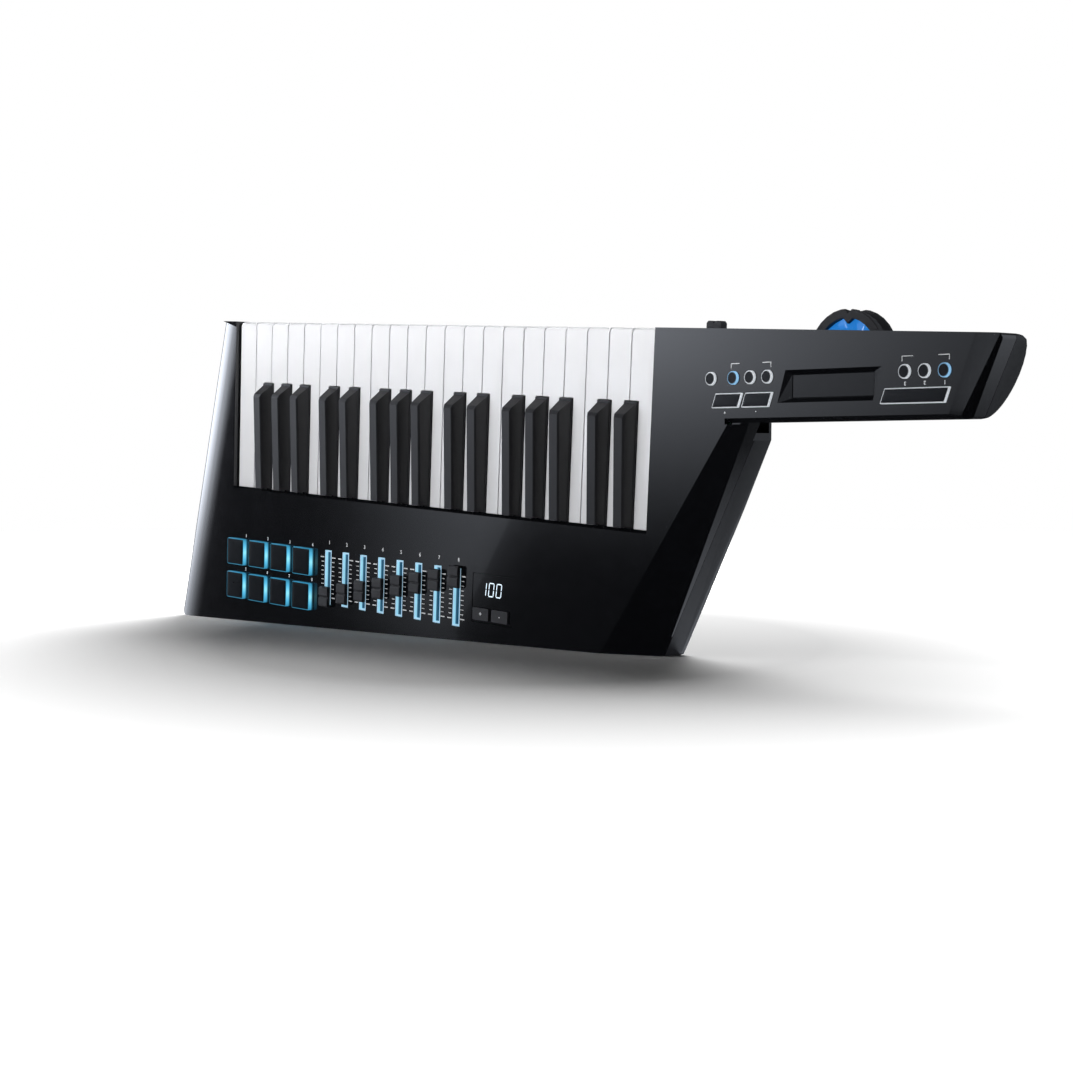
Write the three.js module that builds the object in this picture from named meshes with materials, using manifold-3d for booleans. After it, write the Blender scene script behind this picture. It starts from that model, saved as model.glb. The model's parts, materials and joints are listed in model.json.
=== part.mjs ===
// Keytar: a strap-on keyboard with 37 keys, eight pads, eight faders and a control neck.
// Millimetres, +Z up. It stands on its long lower edge with its face towards -Y and its neck at +X.
// Two frames are used. The stand frame has its floor at z = 0 and x = 0 at the left end of the keys.
// The deck frame is turned against it by the angle between the keyboard and the lower edge: its x runs
// along the keys and its z up the keys, with z = 0 at the key fronts. Depth y is 0 at the white key tops.

import * as THREE from 'three';
import * as BufferGeometryUtils from 'three/addons/utils/BufferGeometryUtils.js';
import Module from 'manifold-3d';

// Clearances and shared sizes
const overrun = 1;
const clearance = 0.3;
const wall = 2.5;
const circleSteps = 16;
const cornerSteps = 4;

// Deck frame in the stand frame
const deckTurn = THREE.MathUtils.degToRad(3.104);
const deckBelow = 119.84;

// Housing outline in the stand frame, x from the left end of the keys and z from the floor
const footLeft = 104.6;
const footRight = 514.3;
const cheekTop = 26.3;
const neckDrop = 96.54;
const elbowRight = 606.9;
const heelRight = 795;
const tipRight = 819.5;
const topMargin = 0.3;
const footRadius = 8;
const cheekRadius = 6;
const heelRadius = 3;
const tipRadius = 3;

// Housing depths, measured from the white key tops
const faceProud = 4.5;
const bodyBack = 40;
const neckBack = 31;
const parting = 13.1;
const rampRun = 86;
const rollRun = 36;
const rollDrop = 7.5;
const rollSteps = 7;
const backRounding = 10;

// The neck's back bulges for the hand: it leaves the under and top faces at two depths, and is deepest
// at a share of its height. At its root the bulge is squarer.
const bulgeUnder = 12;
const bulgeTop = 17;
const bulgeShare = 0.535;
const bulgeRun = 70;
const rootPowerShare = 0.3;
const bulgeSteps = 12;

// Bevel at the right of the deck, and the two bevels at the neck's end
const bevelFoot = 49.8;
const bevelNeck = 15.2;
const chinChamfer = 3.2;
const tipCreaseRun = 19.5;
const tipCreaseRunHeel = 15.7;
const tipEdgeRun = 1.6;
const tipEdgeRunHeel = 5.3;
const tipEdgeDrop = 2;
const tipCornerDrop = 4.1;

// Keys
const whiteCount = 22;
const keyPitch = 23.5;
const keyGap = 1;
const keyLength = 145;
const keyHidden = 33;
const whiteDepth = 14;
const whiteTop = 2.5;
const keyWall = 1.6;
const keyNose = 3.5;
const keyRake = 1;
const tailDrop = 4;
const blackLength = 92.2;
const blackWidth = 13.7;
const blackCrown = 9.7;
const blackHeight = 13.4;
const blackHeightRear = 9.6;
const blackSlope = 10.7;
const blackShoulder = 1.4;
const blackLip = 1.8;
const blackDepth = 9;
const blackTailDepth = 13.5;
const blackRearGap = 0.8;
const blackSideGap = 0.6;
const outerShift = 3.4;
const pairShift = 2.3;

// Keybed chassis
const pivotBehind = 26;
const pivotDepth = 9;
const pivotRadius = 2;
const cheekGap = 1.5;
const neckGap = 4;
const openingDepth = 26.3;
const trayFront = 31;
const trayGauge = 2;
const trayLip = 5;
const trayStart = 3.6;
const pegWidth = 4;
const pegLength = 7;
const whitePegRun = 9;
const whitePegDepth = 13.3;
const blackPegBehind = 75;
const blackPegDepth = 2.5;
const stopRun = 26;
const stopDepth = 23;
const stopWidth = 8;
const edgeChamfer = 2.2;

// Web of every button row and of the pads
const webFront = 1.7;
const webGauge = 1.4;
const boardFront = 1.2;
const boardGauge = 1.6;

// Pads
const padColumns = 4;
const padRows = 2;
const padWidth = 25;
const padHeight = 23.3;
const padPitchX = 32.95;
const padPitchZ = 29.9;
const padLeft = 3.5;
const padBelow = 46.1;
const padProud = 4.6;
const padRadius = 1.5;
const padRib = 3;

// Faders
const faderCount = 8;
const faderPitch = 24.34;
const faderFirst = 140.8;
const faderBelow = 46;
const windowWidth = 9;
const windowLength = 46;
const channelMargin = 1.2;
const channelDepth = 4;
const slotWidth = 2.4;
const stemWidth = 1.6;
const stemLength = 4;
const stemDepth = 5;
const capWidth = 12.2;
const capLength = 17.6;
const capGauge = 3.5;
const capLift = 1.5;
const capGroove = 1.2;
const faderTravel = 34;
const slotPlay = 1.5;
const faderStep = 4.7;
const potDepth = 7;
const potMargin = 2;
const boardMargin = 12;

// Display and value buttons
const displayLeft = 330.8;
const displayBelow = 47.6;
const displayWidth = 47.4;
const displayHeight = 38.3;
const valueWidth = 19;
const valueHeight = 9.6;
const valueLeft = 1.9;
const valuePitch = 22.6;
const valueTop = 26.9;
const valueProud = 1.2;
const valueRadius = 1;

// Neck buttons and touch strip, in the stand frame
const roundRise = 30.8;
const roundRadius = 4.6;
const roundProud = 1.8;
const zoneFirst = 575.7;
const zoneSecond = 596.6;
const zonePitch = 15.7;
const modeFirst = 745.5;
const modePitch = 15.8;
const barRise = 15.4;
const barHeight = 10;
const barSlant = 3.8;
const barProud = 1.6;
const octaveLeft = 579;
const octaveWidth = 24.6;
const octavePitch = 27.8;
const sustainLeft = 728;
const sustainWidth = 52;
const barRadius = 0.8;
const webMargin = 3;
const stripLeft = 648.5;
const stripRight = 719;
const stripRise = 15.7;
const stripHeight = 16;
const stripFrameLeft = 640.4;
const stripFrameRight = 722.8;
const stripFrameRise = 12.9;
const stripFrameHeight = 21.8;
const stripSlant = 3.4;
const stripSink = 1.9;

// Pitch wheel and neck slider, in the deck frame
const wheelAlong = 691.2;
const wheelRadius = 32.4;
const wheelProud = 14.6;
const wheelFront = 3.4;
const wheelWidth = 15.7;
const wheelGroove = 1.6;
const rimGauge = 6;
const notchWidth = 9;
const notchDepth = 3;
const toothWidth = 13;
const toothDepth = 4;
const webThickness = 5;
const hubRadius = 8;
const pinRadius = 3;
const wheelGap = 1;
const sliderAlong = 568;
const sliderLength = 14.3;
const sliderWidth = 6.2;
const sliderHeight = 5.2;
const sliderDip = 1.6;
const sliderFront = 6.2;
const sliderTravel = 30;
const sliderSlot = 2.4;
const sliderPotHeight = 6;

// Posts, ribs, sockets and strap buttons
const postRadius = 3.5;
const screwRadius = 1.5;
const pilotRadius = 1.1;
const pilotDepth = 12;
const screwHead = 3.2;
const headSink = 3;
const screwDeckX = 116;
const screwDeckZ = 30;
const screwMiddleX = 312;
const screwMiddleZ = 22;
const screwToeX = 486;
const screwToeZ = 44;
const screwElbowX = 557;
const screwElbowRise = 9.7;
const screwNeckX = 640;
const screwNeckRise = 43.7;
const screwTipX = 760;
const screwTipRise = 41.7;
const ribGauge = 1.6;
const ribPitch = 64;
const socketLeft = 375;
const socketWidth = 92;
const socketLow = 13;
const socketHeight = 22;
const socketFloor = 29;
const jackRadius = 3.2;
const dinRadius = 6.6;
const usbWidth = 8.5;
const usbHeight = 7.8;
const socketSink = 12;
const jackAlong = 76;
const dinAlong = 48;
const usbAlong = 18;
const doorLeft = - 80;
const doorWidth = 150;
const doorLow = 13;
const doorHeight = 42;
const seamWidth = 0.8;
const seamDepth = 1;
const latchWidth = 16;
const latchHeight = 5;
const strapBase = 6.5;
const strapNeck = 3;
const strapHead = 5.5;
const strapReach = 11;
const strapHeadGauge = 3.5;
const strapDrop = 18.3;
const neckStrapAlong = 770;
const neckStrapRise = 28;

// Places that follow from the sizes above
const deckRise = keyLength + deckBelow;
const neckUnder = deckRise - neckDrop;
const creaseFoot = footRight - bevelFoot;
const creaseNeck = elbowRight - bevelNeck;
const tipCreaseTop = tipRight - tipCreaseRun;
const tipCreaseHeel = heelRight - tipCreaseRunHeel;
const tipEdgeTop = tipRight - tipEdgeRun;
const tipEdgeHeel = heelRight - tipEdgeRunHeel;
const pivotRun = keyLength + pivotBehind;
const blackPegRun = keyLength - blackPegBehind;
const padTop = keyLength + padBelow;
const faderTop = keyLength + faderBelow;
const displayTop = keyLength + displayBelow;
const slotLength = faderTravel + stemLength + slotPlay;
const roundLine = neckUnder + roundRise;
const barLine = neckUnder + barRise;
const stripLow = neckUnder + stripRise;
const stripHigh = stripLow + stripHeight;
const stripFrameLow = neckUnder + stripFrameRise;
const stripFrameHigh = stripFrameLow + stripFrameHeight;
const strapRise = neckUnder - strapDrop;
const neckStrapHeight = neckUnder + neckStrapRise;

const wasm = await Module();
wasm.setup();

const vector = ( x, y, z ) => new THREE.Vector3( x, y, z );
const point = ( x, z ) => new THREE.Vector2( x, z );
const deckMatrix = new THREE.Matrix4().makeRotationY( deckTurn ).setPosition( 0, 0, deckRise );
const keybedWidth = whiteCount * keyPitch;
const whole = footLeft + tipRight + overrun;
const innerFace = - faceProud + wall;

// Solids from closed geometry, and geometry from solids

function solid( geometry ) {

	const bare = geometry.index ? geometry.toNonIndexed() : geometry.clone();
	bare.deleteAttribute( 'normal' );
	bare.deleteAttribute( 'uv' );
	const merged = BufferGeometryUtils.mergeVertices( bare );
	const vertProperties = new Float32Array( merged.attributes.position.array );
	const triVerts = new Uint32Array( merged.index.array );
	return new wasm.Manifold( new wasm.Mesh( { numProp: 3, vertProperties, triVerts } ) );

}

function shapeOf( form ) {

	const mesh = form.getMesh();
	const geometry = new THREE.BufferGeometry();
	const positions = new Float32Array( mesh.vertProperties );
	geometry.setAttribute( 'position', new THREE.BufferAttribute( positions, 3 ) );
	geometry.setIndex( new THREE.BufferAttribute( new Uint32Array( mesh.triVerts ), 1 ) );
	const flat = geometry.toNonIndexed();
	flat.computeVertexNormals();
	return flat;

}

const joined = forms => forms.reduce( ( sum, form ) => sum.add( form ) );
const cutBy = ( form, tools ) => tools.reduce( ( rest, tool ) => rest.subtract( tool ), form );

// A plate with an outline in x and z, from depth y0 to depth y1
function slab( outline, y0, y1, matrix ) {

	const shape = new THREE.Shape( outline );
	const geometry = new THREE.ExtrudeGeometry( shape, { depth: y1 - y0, bevelEnabled: false } );
	geometry.rotateX( Math.PI / 2 );
	geometry.translate( 0, y1, 0 );
	if ( matrix ) geometry.applyMatrix4( matrix );
	return solid( geometry );

}

function block( x0, x1, y0, y1, z0, z1, matrix ) {

	return slab( [ point( x0, z0 ), point( x1, z0 ), point( x1, z1 ), point( x0, z1 ) ], y0, y1, matrix );

}

// A round bar along y
function bar( x, z, radius, y0, y1, matrix ) {

	const outline = [];
	for ( let step = 0; step < circleSteps; step ++ ) {

		const angle = 2 * Math.PI * step / circleSteps;
		outline.push( point( x + radius * Math.cos( angle ), z + radius * Math.sin( angle ) ) );

	}

	return slab( outline, y0, y1, matrix );

}

// A profile in depth y and height z, swept along x from x0 to x1
function sweep( profile, x0, x1, matrix ) {

	const shape = new THREE.Shape( profile );
	const geometry = new THREE.ExtrudeGeometry( shape, { depth: x1 - x0, bevelEnabled: false } );
	const turn = new THREE.Matrix4().makeBasis( vector( 0, 1, 0 ), vector( 0, 0, 1 ), vector( 1, 0, 0 ) );
	geometry.applyMatrix4( turn );
	geometry.translate( x0, 0, 0 );
	if ( matrix ) geometry.applyMatrix4( matrix );
	return solid( geometry );

}

// Skins a solid over rings of places, all with the same count. Seen from outside, the first ring runs
// against the clock, and flat gives its two coordinates.
function loft( rings, flat ) {

	const count = rings[ 0 ].length;
	const last = count * ( rings.length - 1 );
	const index = [];
	for ( let level = 0; level < last; level += count ) {

		for ( let side = 0; side < count; side ++ ) {

			const here = level + side;
			const next = level + ( side + 1 ) % count;
			index.push( next, here, here + count, next, here + count, next + count );

		}

	}

	const first = THREE.ShapeUtils.triangulateShape( rings[ 0 ].map( flat ), [] );
	const end = THREE.ShapeUtils.triangulateShape( rings.at( - 1 ).map( flat ), [] );
	for ( const [ a, b, c ] of first ) index.push( a, b, c );
	for ( const [ a, b, c ] of end ) {

		index.push( last + c, last + b, last + a );

	}

	const geometry = new THREE.BufferGeometry();
	const positions = rings.flat().flatMap( place => place.toArray() );
	geometry.setAttribute( 'position', new THREE.Float32BufferAttribute( positions, 3 ) );
	geometry.setIndex( index );
	return solid( geometry );

}

// Corners are { at, radius }, in order against the clock. Each convex corner is rounded with an arc.

function insetCorners( corners, skin ) {

	return corners.map( ( corner, index ) => {

		const before = corners.at( index - 1 ).at;
		const after = corners[ ( index + 1 ) % corners.length ].at;
		const into = corner.at.clone().sub( before ).normalize();
		const away = after.clone().sub( corner.at ).normalize();
		const turn = into.cross( away );
		const shift = skin * ( 1 - into.dot( away ) ) / turn;
		const at = corner.at.clone().addScaledVector( into, - shift );
		at.add( point( - into.y, into.x ).multiplyScalar( skin ) );
		const radius = turn > 0 ? Math.max( corner.radius - skin, 0 ) : corner.radius;
		return { at, radius };

	} );

}

function rounded( corners ) {

	const outline = [];
	corners.forEach( ( corner, index ) => {

		if ( corner.radius === 0 ) {

			outline.push( corner.at );
			return;

		}

		const before = corners.at( index - 1 ).at;
		const after = corners[ ( index + 1 ) % corners.length ].at;
		const into = corner.at.clone().sub( before ).normalize();
		const away = after.clone().sub( corner.at ).normalize();
		const turn = Math.atan2( into.cross( away ), into.dot( away ) );
		const start = corner.at.clone().addScaledVector( into, - corner.radius * Math.tan( turn / 2 ) );
		const centre = start.clone().add( point( - into.y, into.x ).multiplyScalar( corner.radius ) );
		for ( let step = 0; step <= cornerSteps; step ++ ) {

			outline.push( start.clone().rotateAround( centre, turn * step / cornerSteps ) );

		}

	} );
	return outline;

}

const evenCorners = ( places, radius ) => places.map( at => ( { at, radius } ) );

function roundedBox( x0, x1, z0, z1, radius ) {

	const places = [ point( x0, z0 ), point( x1, z0 ), point( x1, z1 ), point( x0, z1 ) ];
	return rounded( evenCorners( places, radius ) );

}

// A slanted bar button outline: its left and right ends lean to the right going up
function slanted( left, width, margin ) {

	const low = barLine - barHeight / 2 - margin;
	const high = barLine + barHeight / 2 + margin;
	const lean = barSlant / barHeight * ( high - low ) / 2;
	const right = left + width + margin;
	const start = left - margin;
	return rounded( evenCorners( [
		point( start - lean, low ), point( right - lean, low ),
		point( right + lean, high ), point( start + lean, high )
	], barRadius ) );

}

// Everything on the far side of the plane through three points, moved inwards by a skin
function beyond( a, b, c, skin ) {

	const normal = b.clone().sub( a ).cross( c.clone().sub( a ) ).normalize();
	const geometry = new THREE.BoxGeometry( 2 * whole, 2 * whole, whole );
	geometry.translate( 0, 0, whole / 2 - skin );
	geometry.applyQuaternion( new THREE.Quaternion().setFromUnitVectors( vector( 0, 0, 1 ), normal ) );
	geometry.translate( a.x, a.y, a.z );
	return solid( geometry );

}

// What a rounding takes off along the edge from p to q, with the quarter of an ellipse as its section.
// side is -1 at a front face and 1 at a back face.
function filletCut( p, q, depth, run, drop, steps, side ) {

	const away = q.clone().sub( p ).normalize();
	const outward = vector( away.y, 0, - away.x );
	const profile = [ point( overrun, overrun ), point( - run, overrun ) ];
	for ( let step = 0; step <= steps; step ++ ) {

		const angle = Math.PI / 2 * ( 1 - step / steps );
		profile.push( point( run * ( Math.cos( angle ) - 1 ), drop * ( Math.sin( angle ) - 1 ) ) );

	}

	profile.push( point( overrun, - drop ) );
	const length = p.distanceTo( q ) + 2 * overrun;
	const geometry = new THREE.ExtrudeGeometry(
		new THREE.Shape( profile ), { depth: length, bevelEnabled: false } );
	geometry.translate( 0, 0, - length / 2 );
	const facing = vector( 0, side, 0 );
	const along = outward.clone().cross( facing );
	geometry.applyMatrix4( new THREE.Matrix4().makeBasis( outward, facing, along ) );
	geometry.translate( ( p.x + q.x ) / 2, depth, ( p.y + q.y ) / 2 );
	return solid( geometry );

}

// Housing form, shared by both shells: the outer skin with skin 0, the hollow with skin equal to the wall

const topHeight = x => deckRise + topMargin - Math.tan( deckTurn ) * x;

const housingCorners = [
	{ at: point( - footLeft, 0 ), radius: footRadius },
	{ at: point( footRight, 0 ), radius: 0 },
	{ at: point( elbowRight, neckUnder ), radius: 0 },
	{ at: point( heelRight, neckUnder ), radius: heelRadius },
	{ at: point( tipRight, topHeight( tipRight ) ), radius: tipRadius },
	{ at: point( - cheekTop, topHeight( - cheekTop ) ), radius: cheekRadius }
];

// All that lies in front of the neck's bulging back
function neckBulge( skin ) {

	const rampEnd = footRight + rampRun;
	const under = neckUnder + skin;
	const ring = ( x, power ) => {

		const top = topHeight( x ) - skin;
		const middle = under + ( top - under ) * bulgeShare;
		const places = [];
		for ( let step = 0; step <= bulgeSteps; step ++ ) {

			const angle = Math.PI * ( step / bulgeSteps - 1 / 2 );
			const rise = Math.sign( angle ) * Math.abs( Math.sin( angle ) ) ** power;
			const low = rise < 0;
			const from = low ? bulgeUnder : bulgeTop;
			const height = low ? middle - under : top - middle;
			const depth = ( neckBack - skin - from ) * Math.max( Math.cos( angle ), 0 ) ** power;
			places.push( vector( x, from + depth, middle + rise * height ) );

		}

		places.push(
			vector( x, bulgeTop, top + overrun ), vector( x, - whole, top + overrun ),
			vector( x, - whole, under - overrun ), vector( x, bulgeUnder, under - overrun ) );
		return places.reverse();

	};

	return loft( [ ring( rampEnd, rootPowerShare ), ring( rampEnd + bulgeRun, 1 ), ring( whole, 1 ) ],
		place => point( - place.y, place.z ) );

}

function housingForm( skin ) {

	const corners = insetCorners( housingCorners, skin );
	const [ foot, toe, elbow, , tip, cheek ] = corners.map( corner => corner.at );
	const front = - faceProud + skin;
	const back = bodyBack - skin;
	const neckDepth = neckBack - skin;
	const form = slab( rounded( corners ), front, back );

	// The bevel falls from the crease to the parting line at the lower right corner
	const bevel = beyond(
		vector( creaseFoot, - faceProud, 0 ), vector( footRight, parting, 0 ),
		vector( creaseNeck, - faceProud, neckUnder ), skin );
	const belowNeck = block( - whole, whole, - whole, whole, - whole, neckUnder + skin );
	const chinBack = front + chinChamfer;
	const under = neckUnder + skin;
	const chin = [
		point( front - overrun, under - overrun ), point( chinBack, under - overrun ),
		point( chinBack, under ), point( front, under + chinChamfer ),
		point( front - overrun, under + chinChamfer )
	];
	const chinStart = creaseNeck - chinChamfer;

	// The neck's end has a shallow facet, then a steep corner
	const tipTop = topHeight( tipCreaseTop );
	const tipFacet = beyond(
		vector( tipCreaseTop, - faceProud, tipTop ), vector( tipCreaseHeel, - faceProud, neckUnder ),
		vector( tipEdgeTop, tipEdgeDrop - faceProud, tipTop ), skin );
	const tipCorner = beyond(
		vector( tipEdgeTop, tipEdgeDrop - faceProud, tipTop ),
		vector( tipEdgeHeel, tipEdgeDrop - faceProud, neckUnder ),
		vector( heelRight, tipEdgeDrop + tipCornerDrop - faceProud, neckUnder ), skin );

	// The cheek rolls over to the left. Behind, the body thins through a ramp to the neck.
	const rounding = backRounding - skin;
	const backEdges = [ [ cheek, foot ], [ foot, toe ], [ toe, elbow ], [ tip, cheek ] ];
	const rampEnd = footRight + rampRun;
	const ramp = new THREE.ExtrudeGeometry( new THREE.Shape( [
		point( footRight, back ), point( rampEnd, neckDepth ), point( whole, neckDepth ),
		point( whole, back + overrun ), point( footRight, back + overrun )
	] ), { depth: whole, bevelEnabled: false } );

	return cutBy( form, [
		bevel.intersect( belowNeck ),
		sweep( chin, chinStart, whole ),
		tipFacet,
		tipCorner,
		solid( ramp ),
		filletCut( cheek, foot, front, rollRun - skin, rollDrop - skin, rollSteps, - 1 ),
		...backEdges.map( ( [ p, q ] ) => filletCut( p, q, back, rounding, rounding, cornerSteps, 1 ) ),
		block( rampEnd, whole, bulgeUnder, whole, 0, whole ).subtract( neckBulge( skin ) )
	] );

}

const outerForm = housingForm( 0 );
const hollow = housingForm( wall );

// Openings that both shells share

const keyOpeningRight = keybedWidth + neckGap;
const keyOpening = block(
	- cheekGap, keyOpeningRight, - whole, openingDepth, - keyLength, whole, deckMatrix );
const wheelRise = wheelProud - wheelRadius;
const wheelHole = block(
	wheelAlong - wheelRadius - wheelGap, wheelAlong + wheelRadius + wheelGap,
	wheelFront - wheelGap, wheelFront + wheelWidth + wheelGap,
	- wall - overrun, wheelProud, deckMatrix );

// Front housing

function padCorner( row, column ) {

	return point( - padLeft + column * padPitchX, - padTop - row * padPitchZ );

}

function padSlab( row, column, margin, y0, y1, matrix ) {

	const { x, y } = padCorner( row, column );
	return slab( roundedBox(
		x - margin, x + padWidth + margin, y - padHeight - margin, y + margin, padRadius ), y0, y1, matrix );

}

const faderPlaces = Array.from( { length: faderCount }, ( _, index ) => faderFirst + index * faderPitch );
const roundPlaces = {
	zone: [ zoneFirst, zoneSecond, zoneSecond + zonePitch, zoneSecond + 2 * zonePitch ],
	mode: [ modeFirst, modeFirst + modePitch, modeFirst + 2 * modePitch ]
};
const octavePlaces = [ octaveLeft, octaveLeft + octavePitch ];

// The touch strip lies in a recess whose rim slopes in from a slanted frame to a straight window
function stripRecess() {

	const frame = [
		point( stripFrameLeft - stripSlant, stripFrameLow ), point( stripFrameRight - stripSlant, stripFrameLow ),
		point( stripFrameRight + stripSlant, stripFrameHigh ), point( stripFrameLeft + stripSlant, stripFrameHigh )
	];
	const window = [
		point( stripLeft, stripLow ), point( stripRight, stripLow ),
		point( stripRight, stripHigh ), point( stripLeft, stripHigh )
	];
	const ring = ( places, y ) => places.map( place => vector( place.x, y, place.y ) );
	return loft( [
		ring( frame, - faceProud - overrun ), ring( frame, - faceProud ),
		ring( window, stripSink - faceProud ), ring( window, innerFace + overrun )
	], place => point( place.x, place.z ) );

}

// Short posts keep the board off the face, and screw bosses meet the posts of the rear cover
const postGap = postRadius + padRib + clearance;
const padsRight = ( padColumns - 1 ) * padPitchX + padWidth - padLeft;
const boardPosts = [
	point( - padLeft - postGap, - padTop - padPitchZ ),
	point( ( padsRight + faderFirst - windowWidth / 2 ) / 2, - padTop - postRadius ),
	point( displayLeft + displayWidth + postGap, - displayTop - displayHeight )
];
const screwPlaces = [
	point( - footLeft / 2, strapRise / 2 ), point( screwDeckX, screwDeckZ ),
	point( screwMiddleX, screwMiddleZ ), point( screwToeX, screwToeZ ),
	point( screwElbowX, neckUnder + screwElbowRise ),
	point( screwNeckX, neckUnder + screwNeckRise ), point( screwTipX, neckUnder + screwTipRise )
];

function frontHousing() {

	const shell = outerForm.subtract( hollow ).intersect(
		block( - whole, whole, - whole, parting, - whole, whole ) );
	const wallFront = innerFace - clearance;
	const wallFoot = - keyLength - wall;
	const sideWalls = [
		block( - cheekGap - wall, - cheekGap, wallFront, openingDepth, wallFoot, overrun, deckMatrix ),
		block( keyOpeningRight, keyOpeningRight + wall, wallFront, openingDepth, wallFoot, overrun, deckMatrix )
	];
	const posts = boardPosts.map( post => bar(
		post.x, post.y, postRadius, wallFront, boardFront - clearance, deckMatrix ) );
	const bosses = screwPlaces.map( place => bar( place.x, place.y, postRadius, wallFront, parting ) );
	const inside = [ ...sideWalls, ...bosses ].map( form => form.intersect( outerForm ) );
	const body = joined( [ shell, ...posts, ...inside ] );

	const front = - faceProud - overrun;
	const within = innerFace + overrun;
	const chamfer = sweep( [
		point( front, - keyLength - edgeChamfer - overrun ), point( - faceProud + edgeChamfer, - keyLength ),
		point( - faceProud + edgeChamfer, - keyLength + overrun ), point( front, - keyLength + overrun )
	], - cheekGap, keyOpeningRight, deckMatrix );
	const cuts = [ keyOpening, wheelHole, chamfer, stripRecess() ];
	for ( let row = 0; row < padRows; row ++ ) {

		for ( let column = 0; column < padColumns; column ++ ) {

			cuts.push( padSlab( row, column, clearance, front, within, deckMatrix ) );

		}

	}

	for ( const x of faderPlaces ) {

		cuts.push( block(
			x - windowWidth / 2 - clearance, x + windowWidth / 2 + clearance, front, within,
			- faderTop - windowLength - clearance, - faderTop + clearance, deckMatrix ) );

	}

	cuts.push( block(
		displayLeft - clearance, displayLeft + displayWidth + clearance, front, within,
		- displayTop - displayHeight - clearance, - displayTop + clearance, deckMatrix ) );
	for ( const x of [ ...roundPlaces.zone, ...roundPlaces.mode ] ) {

		cuts.push( bar( x, roundLine, roundRadius + clearance, front, within ) );

	}

	for ( const x of octavePlaces ) cuts.push( slab( slanted( x, octaveWidth, clearance ), front, within ) );
	cuts.push( slab( slanted( sustainLeft, sustainWidth, clearance ), front, within ) );
	for ( const place of screwPlaces ) {

		cuts.push( bar( place.x, place.y, pilotRadius, parting - pilotDepth, parting + overrun ) );

	}

	cuts.push( block(
		sliderAlong - ( sliderTravel + sliderLength ) / 2, sliderAlong + ( sliderTravel + sliderLength ) / 2,
		sliderFront + sliderWidth / 2 - sliderSlot / 2, sliderFront + sliderWidth / 2 + sliderSlot / 2,
		- wall - overrun, topMargin + overrun, deckMatrix ) );
	return shapeOf( cutBy( body, cuts ) );

}

// Rear cover

function strapButton() {

	const profile = [
		point( 0, - wall ), point( strapBase, - wall ), point( strapBase, 0 ), point( strapNeck, strapNeck ),
		point( strapNeck, strapReach - strapHeadGauge ), point( strapHead, strapReach - strapHeadGauge / 2 ),
		point( strapHead - strapNeck / 3, strapReach ), point( 0, strapReach )
	];
	return new THREE.LatheGeometry( profile, circleSteps );

}

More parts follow.
